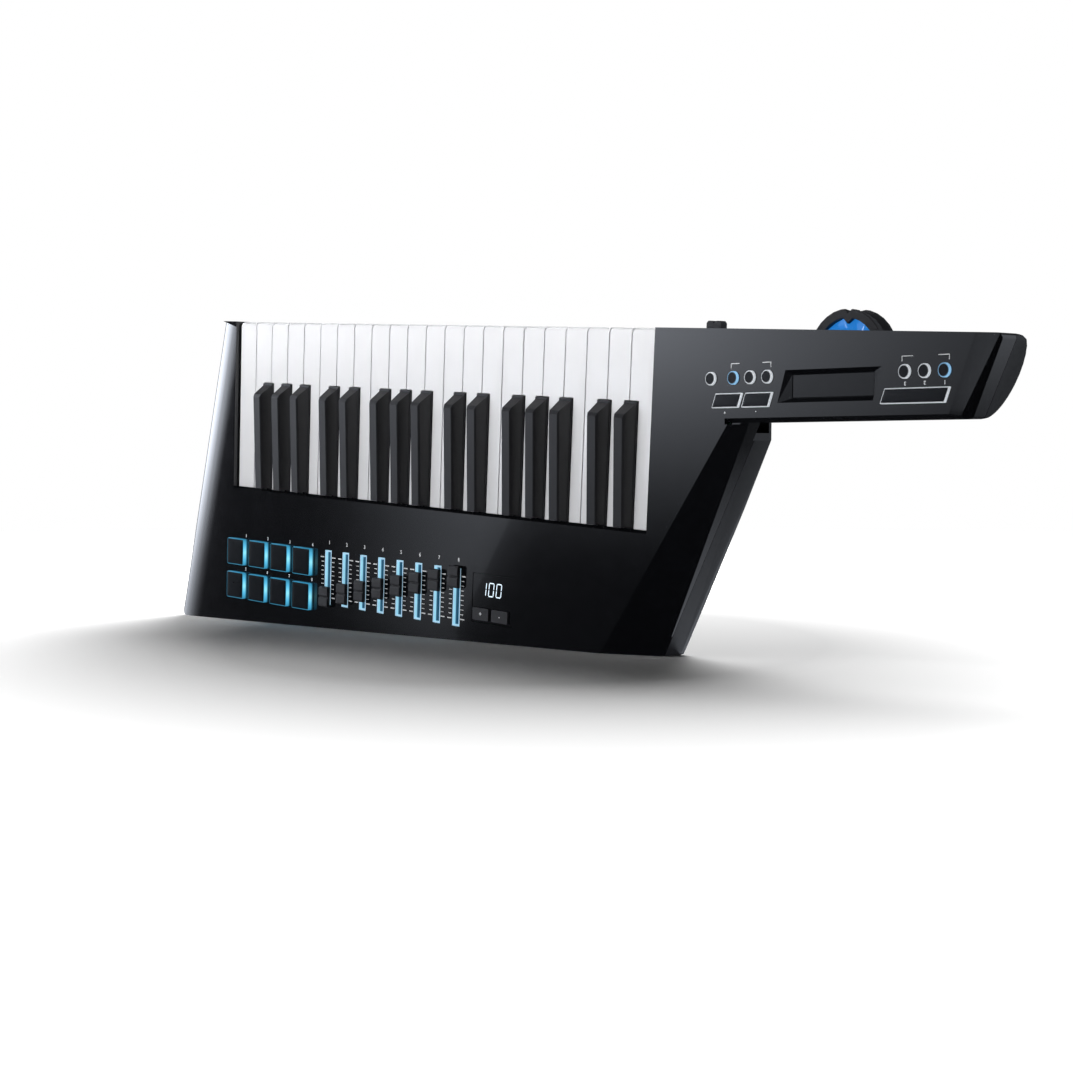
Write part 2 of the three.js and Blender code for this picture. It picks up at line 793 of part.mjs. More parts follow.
function rearCover() {

	const rear = block( - whole, whole, parting + clearance, whole, - whole, whole );
	const shell = outerForm.intersect( rear ).subtract( hollow );
	const ribFront = trayFront + trayGauge + clearance;
	const ribs = [];
	for ( let x = ribPitch / 2; x < keybedWidth; x += ribPitch ) {

		ribs.push( block(
			x - ribGauge / 2, x + ribGauge / 2, ribFront, bodyBack, - pivotRun, - keyNose, deckMatrix ) );

	}

	for ( const run of [ stopRun, keyLength / 2, pivotRun - stopRun ] ) {

		ribs.push( block( 0, keybedWidth, ribFront, bodyBack, - run - ribGauge, - run, deckMatrix ) );

	}

	// The pitch wheel turns on a pin that stands on the rear wall
	const pin = bar( wheelAlong, wheelRise, pinRadius, wheelFront, neckBack, deckMatrix );
	const collarFront = wheelFront + wheelWidth + clearance;
	const collar = bar( wheelAlong, wheelRise, hubRadius, collarFront, neckBack, deckMatrix );
	const screwPosts = screwPlaces.map( place => bar(
		place.x, place.y, postRadius, parting + clearance, bodyBack ) );
	const pocket = block(
		socketLeft - wall, socketLeft + socketWidth + wall, socketFloor - wall, bodyBack,
		socketLow - wall, socketLow + socketHeight + wall );
	const inside = [ ...ribs, pin, collar, ...screwPosts, pocket ].map( form => form.intersect( outerForm ) );

	// One strap button on the left end wall and one behind the neck
	const lean = Math.atan2( footLeft - cheekTop, topHeight( - cheekTop ) );
	const leftButton = strapButton();
	leftButton.rotateZ( Math.PI / 2 );
	leftButton.rotateY( lean );
	const leftX = - footLeft + Math.tan( lean ) * strapRise;
	leftButton.translate( leftX, ( parting + bodyBack ) / 2, strapRise );
	const neckButton = strapButton();
	neckButton.translate( neckStrapAlong, neckBack - strapNeck, neckStrapHeight );
	const body = joined( [ shell, ...inside, solid( leftButton ), solid( neckButton ) ] );

	const socketMiddle = socketLow + socketHeight / 2;
	const outside = bodyBack + overrun;
	const behindFloor = socketFloor - wall - overrun;
	const doorSeam = inset => slab( roundedBox(
		doorLeft + inset, doorLeft + doorWidth - inset,
		doorLow + inset, doorLow + doorHeight - inset, seamDepth ), bodyBack - seamDepth, outside );
	const sideGap = wall + clearance;
	const usbMiddle = socketLeft + usbAlong;
	const cuts = [
		block( - cheekGap - sideGap, keyOpeningRight + sideGap, - whole, openingDepth + clearance,
			- keyLength - sideGap, whole, deckMatrix ),
		wheelHole,
		block( socketLeft, socketLeft + socketWidth, socketFloor, outside, socketLow, socketLow + socketHeight ),
		bar( socketLeft + jackAlong, socketMiddle, jackRadius + wall, behindFloor, outside ),
		bar( socketLeft + dinAlong, socketMiddle, dinRadius + wall, behindFloor, outside ),
		block(
			usbMiddle - usbWidth / 2 - clearance, usbMiddle + usbWidth / 2 + clearance, behindFloor, outside,
			socketMiddle - usbHeight / 2 - clearance, socketMiddle + usbHeight / 2 + clearance ),
		doorSeam( 0 ).subtract( doorSeam( seamWidth ) ),
		block(
			doorLeft + ( doorWidth - latchWidth ) / 2, doorLeft + ( doorWidth + latchWidth ) / 2,
			bodyBack - wall / 2, outside, doorLow + doorHeight - latchHeight, doorLow + doorHeight ),
		...screwPlaces.map( place => bar( place.x, place.y, screwRadius, - overrun, whole ) ),
		...screwPlaces.map( place => {

			const back = place.x > footRight ? neckBack : bodyBack;
			return bar( place.x, place.y, screwHead, back - headSink, whole );

		} )
	];
	return shapeOf( cutBy( body, cuts ) );

}

// Keys, each drawn with its left front corner at its own origin

const blackShifts = { 0: pairShift, 2: - outerShift, 3: 0, 4: outerShift, 6: - pairShift };
const octaveSteps = 7;

function blackCentre( boundary ) {

	const step = boundary % octaveSteps;
	const within = boundary > 0 && boundary < whiteCount && step in blackShifts;
	return within ? boundary * keyPitch + blackShifts[ step ] : null;

}

const tailBore = ( x0, x1 ) => sweep( Array.from( { length: circleSteps / 2 }, ( _, step ) => {

	const angle = 4 * Math.PI * step / circleSteps;
	const radius = pivotRadius + clearance;
	return point( pivotDepth + radius * Math.cos( angle ), - pivotRun + radius * Math.sin( angle ) );

} ), x0, x1 );

function whiteKey( index ) {

	const left = keyGap / 2;
	const right = keyPitch - keyGap / 2;
	const tail = - keyLength - keyHidden;
	const blackFront = - keyLength + blackLength + blackSideGap;
	const leftBlack = blackCentre( index );
	const rightBlack = blackCentre( index + 1 );
	const notch = blackWidth / 2 + blackSideGap;
	const outline = [ point( left, 0 ), point( left, blackFront ) ];
	const leftWaist = leftBlack === null ? left : leftBlack - index * keyPitch + notch;
	const rightWaist = rightBlack === null ? right : rightBlack - index * keyPitch - notch;
	if ( leftBlack !== null ) outline.push( point( leftWaist, blackFront ) );
	outline.push( point( leftWaist, tail ), point( rightWaist, tail ), point( rightWaist, blackFront ) );
	if ( rightBlack !== null ) outline.push( point( right, blackFront ) );
	outline.push( point( right, 0 ) );
	const stepDown = - keyLength - tailDrop;
	const side = [
		point( keyNose, 0 ), point( keyNose / 3, - keyNose / 3 ), point( 0, - keyNose ),
		point( 0, - keyLength ), point( tailDrop, stepDown ), point( tailDrop, tail ),
		point( whiteDepth, tail ), point( whiteDepth, - keyRake )
	];
	const body = slab( outline.reverse(), 0, whiteDepth ).intersect(
		sweep( side, - overrun, keyPitch + overrun ) );
	const hollowFront = blackFront + keyWall + blackSideGap;
	const under = whiteDepth + overrun;
	const tailBlock = pivotDepth - pivotRun;
	const narrowLeft = leftWaist + keyWall;
	const narrowRight = rightWaist - keyWall;
	return shapeOf( cutBy( body, [
		block( left + keyWall, right - keyWall, whiteTop, under, hollowFront, - keyNose ),
		block( narrowLeft, narrowRight, whiteTop, under, - keyLength, hollowFront + overrun ),
		block( narrowLeft, narrowRight, tailDrop + whiteTop, under, tailBlock, overrun - keyLength ),
		tailBore( - overrun, keyPitch + overrun )
	] ) );

}

function blackKey() {

	const front = - keyLength + blackLength;
	const rear = - keyLength + blackRearGap;
	const tail = - keyLength - keyHidden;
	const half = blackWidth / 2;
	const crown = blackCrown / 2;
	const fall = blackHeight - blackHeightRear;
	const ring = ( drop, fallen, x, z ) => [
		vector( - x, fallen + drop, rear ), vector( x, fallen + drop, rear ),
		vector( x, drop, z ), vector( - x, drop, z )
	];
	const cap = loft( [
		ring( - blackHeight, fall, crown - blackShoulder / 3, front - blackSlope - blackShoulder ),
		ring( blackShoulder - blackHeight, fall, crown + blackShoulder / 3, front - blackSlope + blackShoulder ),
		ring( - blackShoulder - clearance, 0, half - blackShoulder / 3, front - blackLip ),
		ring( - blackShoulder, 0, half, front ),
		ring( 0, 0, half, front )
	], place => point( place.x, place.z ) );
	const skirt = block( - half, half, 0, blackDepth, rear, front );
	const tailHalf = half - blackSideGap;
	const arm = block( - tailHalf, tailHalf, tailDrop, blackTailDepth, tail, rear + keyWall );
	const inner = crown - keyWall;
	const hollowTop = whiteTop - blackHeightRear;
	const tailBlock = pivotDepth - pivotRun;
	return shapeOf( cutBy( joined( [ cap, skirt, arm ] ), [
		block( - inner, inner, hollowTop, blackTailDepth + overrun, rear + 2 * keyWall, front - blackSlope ),
		block( - inner, inner, tailDrop + whiteTop, blackTailDepth + overrun, tailBlock, rear ),
		tailBore( - half, half )
	] ) );

}

// Keybed chassis: a tray with a pivot rod, its end brackets, a stop rail and one guide peg for each key

function chassis() {

	const back = trayFront + trayGauge;
	const rear = - pivotRun - whiteDepth;
	const left = clearance - cheekGap;
	const right = keyOpeningRight - clearance;
	const parts = [
		block( left, right, trayFront, back, rear, - trayStart ),
		block( left, right, pivotDepth - pivotRadius, back, rear, rear + trayGauge ),
		block( left, right, trayFront - trayLip, back, - trayStart - trayGauge, - trayStart ),
		block( 0, keybedWidth, stopDepth, back, - stopRun - stopWidth, - stopRun ),
		sweep( Array.from( { length: circleSteps / 2 }, ( _, step ) => {

			const angle = 4 * Math.PI * step / circleSteps;
			return point(
				pivotDepth + pivotRadius * Math.cos( angle ), - pivotRun + pivotRadius * Math.sin( angle ) );

		} ), left, right )
	];
	const brackets = [ [ left, left + cheekGap - clearance ], [ right - neckGap + clearance, right ] ];
	for ( const [ x0, x1 ] of brackets ) {

		parts.push( block( x0, x1, pivotDepth - 2 * pivotRadius, back, rear, pivotDepth - pivotRun ) );

	}

	for ( let index = 0; index < whiteCount; index ++ ) {

		const x = ( index + 1 / 2 ) * keyPitch;
		parts.push( block(
			x - pegWidth / 2, x + pegWidth / 2, whitePegDepth, back, - whitePegRun - pegLength, - whitePegRun ) );
		const black = blackCentre( index );
		if ( black !== null ) {

			parts.push( block(
				black - pegWidth / 2, black + pegWidth / 2, blackPegDepth, back,
				- blackPegRun - pegLength, - blackPegRun ) );

		}

	}

	return shapeOf( joined( parts ) );

}

// Pads: one silicone moulding with eight raised pads on a common web

function padMat() {

	const first = padCorner( padRows - 1, 0 );
	const end = padCorner( 0, padColumns - 1 );
	const web = block(
		first.x - padRib, end.x + padWidth + padRib, - webFront, 0,
		first.y - padHeight - padRib, end.y + padRib );
	const parts = [ web ];
	for ( let row = 0; row < padRows; row ++ ) {

		for ( let column = 0; column < padColumns; column ++ ) {

			parts.push( padSlab( row, column, 0, - faceProud - padProud, 0 ) );
			const { x, y } = padCorner( row, column );
			parts.push( block(
				x + padRib, x + padWidth - padRib, - webFront, boardFront - clearance,
				y - padHeight + padRib, y - padRib ) );

		}

	}

	return shapeOf( joined( parts ) );

}

// Light guide: one clear moulding with eight windows, each with a slot for a fader stem

function lightGuide() {

	const first = faderPlaces[ 0 ] - windowWidth / 2 - padRib;
	const end = faderPlaces[ faderCount - 1 ] + windowWidth / 2 + padRib;
	const low = - faderTop - windowLength;
	const parts = [ block(
		first, end, - webFront, boardFront - clearance, low - padRib, - faderTop + padRib ) ];
	const middle = low + windowLength / 2;
	const cuts = [];
	for ( const x of faderPlaces ) {

		const half = windowWidth / 2 - channelMargin;
		const windowFace = clearance - faceProud;
		parts.push( block( x - windowWidth / 2, x + windowWidth / 2, windowFace, 0, low, - faderTop ) );
		cuts.push( block(
			x - half, x + half, windowFace - overrun, windowFace + channelDepth,
			low + channelMargin, - faderTop - channelMargin ) );
		cuts.push( block(
			x - slotWidth / 2, x + slotWidth / 2, - faceProud - overrun, boardFront + overrun,
			middle - slotLength / 2, middle + slotLength / 2 ) );

	}

	return shapeOf( cutBy( joined( parts ), cuts ) );

}

// Fader cap with its stem, drawn about the middle of its foot

function faderCap() {

	const half = capLength / 2;
	const foot = - faceProud - capLift;
	const top = foot - capGauge;
	const side = [
		point( foot, - half ), point( foot, half ), point( top + capGroove, half ), point( top, half - capGroove ),
		point( top, capGroove ), point( top + capGroove, 0 ), point( top, - capGroove ),
		point( top, capGroove - half ), point( top + capGroove, - half )
	];
	const head = sweep( side.reverse(), - capWidth / 2, capWidth / 2 );
	const stem = block(
		- stemWidth / 2, stemWidth / 2, foot - clearance, stemDepth, - stemLength / 2, stemLength / 2 );
	return shapeOf( head.add( stem ) );

}

// Display window, with two holes for the value buttons

const valueCorners = [ 0, 1 ].map( index => point(
	displayLeft + valueLeft + index * valuePitch, - displayTop - valueTop ) );
const valueSlab = ( corner, margin, y0, y1 ) => slab( roundedBox(
	corner.x - margin, corner.x + valueWidth + margin, corner.y - valueHeight - margin, corner.y + margin,
	valueRadius ), y0, y1 );

function displayLens() {

	const plate = slab( roundedBox(
		displayLeft, displayLeft + displayWidth, - displayTop - displayHeight, - displayTop, valueRadius ),
	- faceProud + clearance, innerFace );
	return shapeOf( cutBy( plate, valueCorners.map( corner => valueSlab(
		corner, clearance, - faceProud - overrun, innerFace + overrun ) ) ) );

}

function valueButtons() {

	const [ first, second ] = valueCorners;
	const web = block(
		first.x - valueRadius, second.x + valueWidth + valueRadius, - webFront, - webFront + webGauge,
		first.y - valueHeight - valueRadius, first.y + valueRadius );
	const caps = valueCorners.map( corner => valueSlab(
		corner, 0, - faceProud - valueProud, - webFront + clearance ) );
	return shapeOf( joined( [ web, ...caps ] ) );

}

// Neck buttons: each row is one moulding of caps on a web behind the face

function roundButtons( places ) {

	const web = block(
		places[ 0 ] - roundRadius - webMargin, places.at( - 1 ) + roundRadius + webMargin,
		- webFront, - webFront + webGauge,
		roundLine - roundRadius - webMargin / 2, roundLine + roundRadius + webMargin / 2 );
	const caps = places.map( x => bar(
		x, roundLine, roundRadius, - faceProud - roundProud, - webFront + clearance ) );
	return shapeOf( joined( [ web, ...caps ] ) );

}

function barButtons( places, width ) {

	const reach = places.at( - 1 ) - places[ 0 ] + width;
	const web = slab( slanted( places[ 0 ], reach, webMargin / 2 ), - webFront, webGauge - webFront );
	const caps = places.map( x => slab(
		slanted( x, width, 0 ), - faceProud - barProud, clearance - webFront ) );
	return shapeOf( joined( [ web, ...caps ] ) );

}

function touchStrip() {

	const base = block(
		stripLeft - webMargin, stripRight + webMargin, - webFront, boardFront - clearance,
		stripLow - webMargin / 2, stripHigh + webMargin / 2 );
	const face = block(
		stripLeft + clearance, stripRight - clearance, innerFace - clearance, 0,
		stripLow + clearance, stripHigh - clearance );
	return shapeOf( base.add( face ) );

}

// Pitch wheel, turned about its own axis along y

function pitchWheel() {

	const half = wheelWidth / 2;
	const bore = pinRadius + clearance;
	const rim = wheelRadius - rimGauge;
	const web = webThickness / 2;
	const profile = [
		point( bore, - half ), point( hubRadius, - half ), point( hubRadius, - web ), point( rim, - web ),
		point( rim, - half ), point( wheelRadius, - half ), point( wheelRadius, wheelGroove - half ),
		point( wheelRadius - wheelGroove, 0 ), point( wheelRadius, half - wheelGroove ),
		point( wheelRadius, half ),
		point( rim, half ), point( rim, web ), point( hubRadius, web ), point( hubRadius, half ),
		point( bore, half ), point( bore, - half )
	];
	const notch = slab( [
		point( 0, wheelRadius - notchDepth ), point( notchWidth / 2, wheelRadius + overrun ),
		point( - notchWidth / 2, wheelRadius + overrun )
	], - half - overrun, half + overrun );
	const tooth = slab( [
		point( 0, rim - toothDepth ), point( toothWidth / 2, rim + toothDepth / 2 ),
		point( - toothWidth / 2, rim + toothDepth / 2 )
	], - half, half );
	const wheel = solid( new THREE.LatheGeometry( profile, 2 * circleSteps ) );
	return shapeOf( wheel.add( tooth ).subtract( notch ) );

}

// Neck slider cap with a dip for the finger, drawn about the middle of its travel

function neckSlider() {

	const half = sliderLength / 2;
	const foot = topMargin + clearance;
	const top = foot + sliderHeight;
	const outline = [
		point( - half, foot ), point( half, foot ), point( half, top - sliderDip ), point( half - sliderDip, top ),
		point( half / 3, top ), point( 0, top - sliderDip ), point( - half / 3, top ),
		point( sliderDip - half, top ), point( - half, top - sliderDip )
	];
	const head = slab( outline, 0, sliderWidth );
	const middle = sliderWidth / 2;
	const blade = sliderSlot / 2 - clearance;
	const stem = block(
		- half / 3, half / 3, middle - blade, middle + blade,
		- wall - sliderPotHeight / 2, foot + clearance );
	return shapeOf( head.add( stem ) );

}

// Control board: one board behind the deck and the neck, with the slide pots, display module and sockets

function controlBoard() {

	const front = boardFront;
	const back = boardFront + boardGauge;
	const floorHeight = wall + webMargin;
	const linkLeft = keyOpeningRight + wall + clearance;
	const neckLow = neckUnder + wall + clearance;
	const deckPlate = block(
		- padLeft - boardMargin, linkLeft + boardMargin, front, back,
		- whole, - keyLength - wall - webMargin, deckMatrix );
	const linkPlate = block( linkLeft, whole, front, back, - keyLength - boardMargin, 0, deckMatrix );
	const leftOfBevel = slab( [
		point( - footLeft, floorHeight ), point( creaseFoot, floorHeight ),
		point( creaseNeck, neckUnder + floorHeight ), point( - footLeft, neckUnder + floorHeight )
	], front, back );
	const neckPlate = block(
		linkLeft + boardMargin / 2, sustainLeft + sustainWidth, front, back,
		neckLow, roundLine + 2 * roundRadius );
	const low = - faderTop - windowLength;
	const middle = low + windowLength / 2;
	const pots = [];
	const slots = [];
	for ( const x of faderPlaces ) {

		pots.push( block(
			x - windowWidth / 2, x + windowWidth / 2, back - clearance, back + potDepth,
			low, potMargin - faderTop, deckMatrix ) );
		slots.push( block(
			x - slotWidth / 2, x + slotWidth / 2, front - overrun, stemDepth + clearance,
			middle - slotLength / 2, middle + slotLength / 2, deckMatrix ) );

	}

	const module = block(
		displayLeft + valueLeft, displayLeft + displayWidth - valueLeft, - webFront, back,
		- displayTop - valueTop + valueLeft, - displayTop - valueLeft, deckMatrix );
	const sliderStart = sliderAlong - ( sliderTravel + sliderLength ) / 2;
	const sliderEnd = sliderAlong + ( sliderTravel + sliderLength ) / 2;
	const sliderPot = block(
		sliderStart, sliderEnd, front, sliderFront + sliderWidth,
		- wall - 2 * sliderPotHeight, - wall - clearance, deckMatrix );
	const sliderTab = block(
		sliderStart, sliderEnd, front, back, - keyLength / 3, - wall - sliderPotHeight, deckMatrix );
	const sliderTrack = block(
		sliderStart + clearance, sliderEnd - clearance,
		sliderFront + sliderWidth / 2 - sliderSlot / 2, sliderFront + sliderWidth / 2 + sliderSlot / 2,
		- wall - sliderPotHeight, 0, deckMatrix );
	const socketMiddle = socketLow + socketHeight / 2;
	const socketBack = socketFloor - wall - clearance;
	const socketBlock = block(
		socketLeft + clearance, socketLeft + socketWidth - clearance, back - clearance, socketBack,
		socketLow, socketLow + socketHeight );
	const sockets = [
		bar( socketLeft + jackAlong, socketMiddle, jackRadius, socketBack - socketSink, socketBack + overrun ),
		bar( socketLeft + dinAlong, socketMiddle, dinRadius, socketBack - socketSink, socketBack + overrun ),
		block(
			socketLeft + usbAlong - usbWidth / 2, socketLeft + usbAlong + usbWidth / 2,
			socketBack - socketSink, socketBack + overrun,
			socketMiddle - usbHeight / 2, socketMiddle + usbHeight / 2 )
	];
	const plate = deckPlate.add( linkPlate ).intersect( leftOfBevel ).add( neckPlate );
	const body = joined( [ plate, ...pots, module, sliderPot, sliderTab, socketBlock ] );
	const bossHoles = screwPlaces.map( place => bar(
		place.x, place.y, postRadius + clearance, front - overrun, back + overrun ) );
	return shapeOf( cutBy( body, [ ...slots, sliderTrack, ...sockets, ...bossHoles ] ) );

}

// Scene graph

const glossBlack = { color: 0x0b0c0e, roughness: 0.12, metalness: 0 };
const satinBlack = { color: 0x1c1d20, roughness: 0.45, metalness: 0 };
const keyWhite = { color: 0xf4f4f8, roughness: 0.18, metalness: 0 };
const keyBlack = { color: 0x26272b, roughness: 0.5, metalness: 0 };
const litBlue = { color: 0x39a7e0, roughness: 0.3, metalness: 0 };
const clearWhite = { color: 0xc9d3da, roughness: 0.35, metalness: 0 };
const greySteel = { color: 0x8d9196, roughness: 0.4, metalness: 1 };
const boardGreen = { color: 0x1e4a33, roughness: 0.6, metalness: 0 };
const darkRubber = { color: 0x1b1c20, roughness: 0.75, metalness: 0 };

const stand = new THREE.Group();
const deck = new THREE.Group();
deck.rotation.y = deckTurn;
deck.position.z = deckRise;
stand.add( deck );

function put( name, geometry, finish, parent, x = 0, y = 0, z = 0 ) {

	const mesh = new THREE.Mesh( geometry, new THREE.MeshStandardMaterial( finish ) );
	mesh.name = name;
	mesh.position.set( x, y, z );
	parent.add( mesh );

}

const twoDigits = number => String( number ).padStart( 2, '0' );

put( 'front_housing', frontHousing(), glossBlack, stand );
put( 'rear_cover', rearCover(), satinBlack, stand );
put( 'control_board', controlBoard(), boardGreen, stand );
put( 'keybed_chassis', chassis(), greySteel, deck );

let blackNumber = 0;
const blackShape = blackKey();
for ( let index = 0; index < whiteCount; index ++ ) {

	put( `white_key_${ twoDigits( index + 1 ) }`, whiteKey( index ), keyWhite, deck, index * keyPitch );
	const centre = blackCentre( index );
	if ( centre !== null ) {

		blackNumber ++;
		put( `black_key_${ twoDigits( blackNumber ) }`, blackShape, keyBlack, deck, centre );

	}

}

put( 'pad_mat', padMat(), litBlue, deck );
put( 'fader_light_guide', lightGuide(), litBlue, deck );
const capShape = faderCap();
const slotMiddle = - faderTop - windowLength / 2;
faderPlaces.forEach( ( x, index ) => {

	const along = ( index - ( faderCount - 1 ) / 2 ) * faderStep;
	put( `fader_cap_${ index + 1 }`, capShape, darkRubber, deck, x, 0, slotMiddle + along );

} );

put( 'display_lens', displayLens(), glossBlack, deck );
put( 'value_buttons', valueButtons(), darkRubber, deck );
put( 'zone_buttons', roundButtons( roundPlaces.zone ), clearWhite, stand );
put( 'mode_buttons', roundButtons( roundPlaces.mode ), clearWhite, stand );
put( 'octave_buttons', barButtons( octavePlaces, octaveWidth ), clearWhite, stand );
put( 'sustain_button', barButtons( [ sustainLeft ], sustainWidth ), clearWhite, stand );
put( 'touch_strip', touchStrip(), darkRubber, stand );
put( 'pitch_wheel', pitchWheel(), darkRubber, deck, wheelAlong, wheelFront + wheelWidth / 2, wheelRise );
put( 'neck_fader_cap', neckSlider(), satinBlack, deck, sliderAlong, sliderFront );

// The origin lies at the middle of the footprint, on the floor
const bounds = new THREE.Box3().setFromObject( stand );
const middleOf = bounds.getCenter( vector( 0, 0, 0 ) );
stand.position.set( - middleOf.x, - middleOf.y, - bounds.min.z );
const keytar = new THREE.Group();
keytar.add( stand );

export default keytar;
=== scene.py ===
import json
import math

import bmesh
import bpy
from mathutils import Matrix, Vector

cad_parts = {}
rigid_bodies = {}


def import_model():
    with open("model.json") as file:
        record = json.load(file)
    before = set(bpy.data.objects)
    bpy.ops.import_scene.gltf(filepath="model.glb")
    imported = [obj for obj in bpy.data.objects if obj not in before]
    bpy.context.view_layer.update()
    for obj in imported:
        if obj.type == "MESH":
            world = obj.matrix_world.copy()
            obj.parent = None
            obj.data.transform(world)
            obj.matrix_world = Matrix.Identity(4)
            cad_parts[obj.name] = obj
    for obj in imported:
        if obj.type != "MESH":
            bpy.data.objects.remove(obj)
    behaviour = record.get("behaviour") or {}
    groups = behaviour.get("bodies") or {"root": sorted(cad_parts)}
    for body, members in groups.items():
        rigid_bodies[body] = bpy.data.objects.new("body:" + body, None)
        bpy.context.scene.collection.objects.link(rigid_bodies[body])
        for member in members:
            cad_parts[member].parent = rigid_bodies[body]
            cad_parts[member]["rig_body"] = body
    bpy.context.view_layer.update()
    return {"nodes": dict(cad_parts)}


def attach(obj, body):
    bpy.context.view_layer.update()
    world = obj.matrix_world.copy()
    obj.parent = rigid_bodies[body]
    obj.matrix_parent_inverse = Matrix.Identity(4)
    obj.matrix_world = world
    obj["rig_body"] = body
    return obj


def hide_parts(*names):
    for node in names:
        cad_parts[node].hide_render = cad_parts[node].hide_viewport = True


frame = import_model()


# Front housing: the gloss black shell with the deck, the neck and the rolled left cheek. It is injection
# moulded in ABS, polished on the face, and screwed to the rear cover from behind.
MILLIMETRE = 0.001
FACE = -4.5
NECK_START = 600
NECK_FRONT = -2
NECK_CREASE = 5
WELD = 1e-6
FLAT = 0.4
GRAIN_HEIGHT = 0.0002
CLOUD_SIZE = 12

# Places are in mm, on one of two frames. The stand has z = 0 on the floor. The deck is turned against it,
# with x along the keys and z up them, 0 at the white key fronts. Depth y is 0 at the white key tops in both.
TURN = math.radians(3.104)
DECK_RISE = 264.84
STAND = Matrix.Translation((-0.358007, -0.0133, 0)) @ Matrix.Scale(MILLIMETRE, 4)
DECK = STAND @ Matrix.Translation((0, 0, DECK_RISE)) @ Matrix.Rotation(TURN, 4, "Y")


def shader(name, color, roughness, coat=0.0, specular=0.5, metallic=0.0):
    """A plain plastic or metal skin, with one value for each of its sockets."""
    material = bpy.data.materials.new(name)
    material.use_nodes = True
    skin = material.node_tree.nodes["Principled BSDF"]
    skin.inputs["Base Color"].default_value = (*color, 1)
    skin.inputs["Roughness"].default_value = roughness
    skin.inputs["Metallic"].default_value = metallic
    skin.inputs["Coat Weight"].default_value = coat
    skin.inputs["Specular IOR Level"].default_value = specular
    return material


def node(tree, kind, **values):
    """A new node. Each value goes to the node's own setting of that name, or else to its input."""
    made = tree.nodes.new(kind)
    for key, value in values.items():
        if hasattr(made, key):
            setattr(made, key, value)
        else:
            made.inputs[key.replace("_", " ")].default_value = value
    return made


def link(tree, source, out, target, into):
    """Joins an output of one node to an input of another, by name or by number."""
    tree.links.new(source.outputs[out], target.inputs[into])


def grained(material, scale, depth, low, high, mottle=0.0):
    """Noise on the roughness between low and high, a fine bump, and a slight mottling of the colour."""
    tree = material.node_tree
    skin = tree.nodes["Principled BSDF"]
    place = node(tree, "ShaderNodeTexCoord")
    broad = node(tree, "ShaderNodeTexNoise", Scale=scale / CLOUD_SIZE, Detail=3.0)
    fine = node(tree, "ShaderNodeTexNoise", Scale=scale, Detail=4.0)
    spread = node(tree, "ShaderNodeMapRange", To_Min=low, To_Max=high)
    bump = node(tree, "ShaderNodeBump", Strength=depth, Distance=GRAIN_HEIGHT)
    link(tree, place, "Object", broad, "Vector")
    link(tree, place, "Object", fine, "Vector")
    link(tree, broad, "Fac", spread, "Value")
    link(tree, spread, "Result", skin, "Roughness")
    link(tree, fine, "Fac", bump, "Height")
    link(tree, bump, "Normal", skin, "Normal")
    if mottle:
        color = skin.inputs["Base Color"].default_value[:3]
        tint = node(tree, "ShaderNodeMix", data_type="RGBA")
        tint.inputs["A"].default_value = (*[part * (1 - mottle) for part in color], 1)
        tint.inputs["B"].default_value = (*[min(part * (1 + mottle), 1) for part in color], 1)
        link(tree, broad, "Fac", tint, "Factor")
        tree.links.new(tint.outputs[2], skin.inputs["Base Color"])


def refined(name, materials, edge, steps, angle):
    """A copy of a CAD node, welded, with its sharp edges rounded and its curved faces smooth."""
    source = frame["nodes"][name]
    form = bmesh.new()
    form.from_mesh(source.data)
    bmesh.ops.remove_doubles(form, verts=form.verts, dist=WELD)
    bmesh.ops.dissolve_limit(form, angle_limit=math.radians(FLAT), verts=form.verts, edges=form.edges)
    form.verts.index_update()
    points = [vertex.co.copy() for vertex in form.verts]
    faces = [[vertex.index for vertex in face.verts] for face in form.faces]
    form.free()
    mesh = bpy.data.meshes.new(name + "_skin")
    mesh.from_pydata(points, [], faces)
    mesh.validate()
    for material in materials:
        mesh.materials.append(material)
    mesh.shade_smooth()
    mesh.set_sharp_from_angle(angle=math.radians(angle))
    piece = bpy.data.objects.new(name + "_skin", mesh)
    bpy.context.scene.collection.objects.link(piece)
    if edge:
        round_edge = piece.modifiers.new("edge", "BEVEL")
        round_edge.width = edge * MILLIMETRE
        round_edge.segments = steps
        round_edge.limit_method = "ANGLE"
        round_edge.angle_limit = math.radians(angle)
        round_edge.harden_normals = True
        round_edge.use_clamp_overlap = True
    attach(piece, source["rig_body"])
    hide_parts(name)
    return piece


gloss_black = shader("gloss_black", (0.004, 0.0043, 0.0055), roughness=0.1, coat=0.3)
grained(gloss_black, scale=900, depth=0.02, low=0.1, high=0.16, mottle=0.2)
front = refined("front_housing", [gloss_black], edge=0.45, steps=2, angle=20)
form = bmesh.new()
form.from_mesh(front.data)
for edge in form.edges:
    middle = STAND.inverted() @ ((edge.verts[0].co + edge.verts[1].co) / 2)
    on_neck = middle.x > NECK_START and middle.y < NECK_FRONT
    if on_neck and edge.calc_face_angle(0) > math.radians(NECK_CREASE):
        edge.smooth = False
form.to_mesh(front.data)
form.free()


# Rear cover: a matte black moulded shell with the side walls, both strap buttons, the battery door's seam
# and the socket pocket. Seven cross-head screws, sunk in its bores, pull it onto the front housing.
SCREW_PLACES = (
    (-52.3, 37, 75),
    (116, 37, 30),
    (312, 37, 22),
    (486, 37, 44),
    (557, 37, 178),
    (640, 28, 212),
    (760, 28, 210),
)
SCREW_HEAD = 1.9
TURNED_SMOOTH = 30

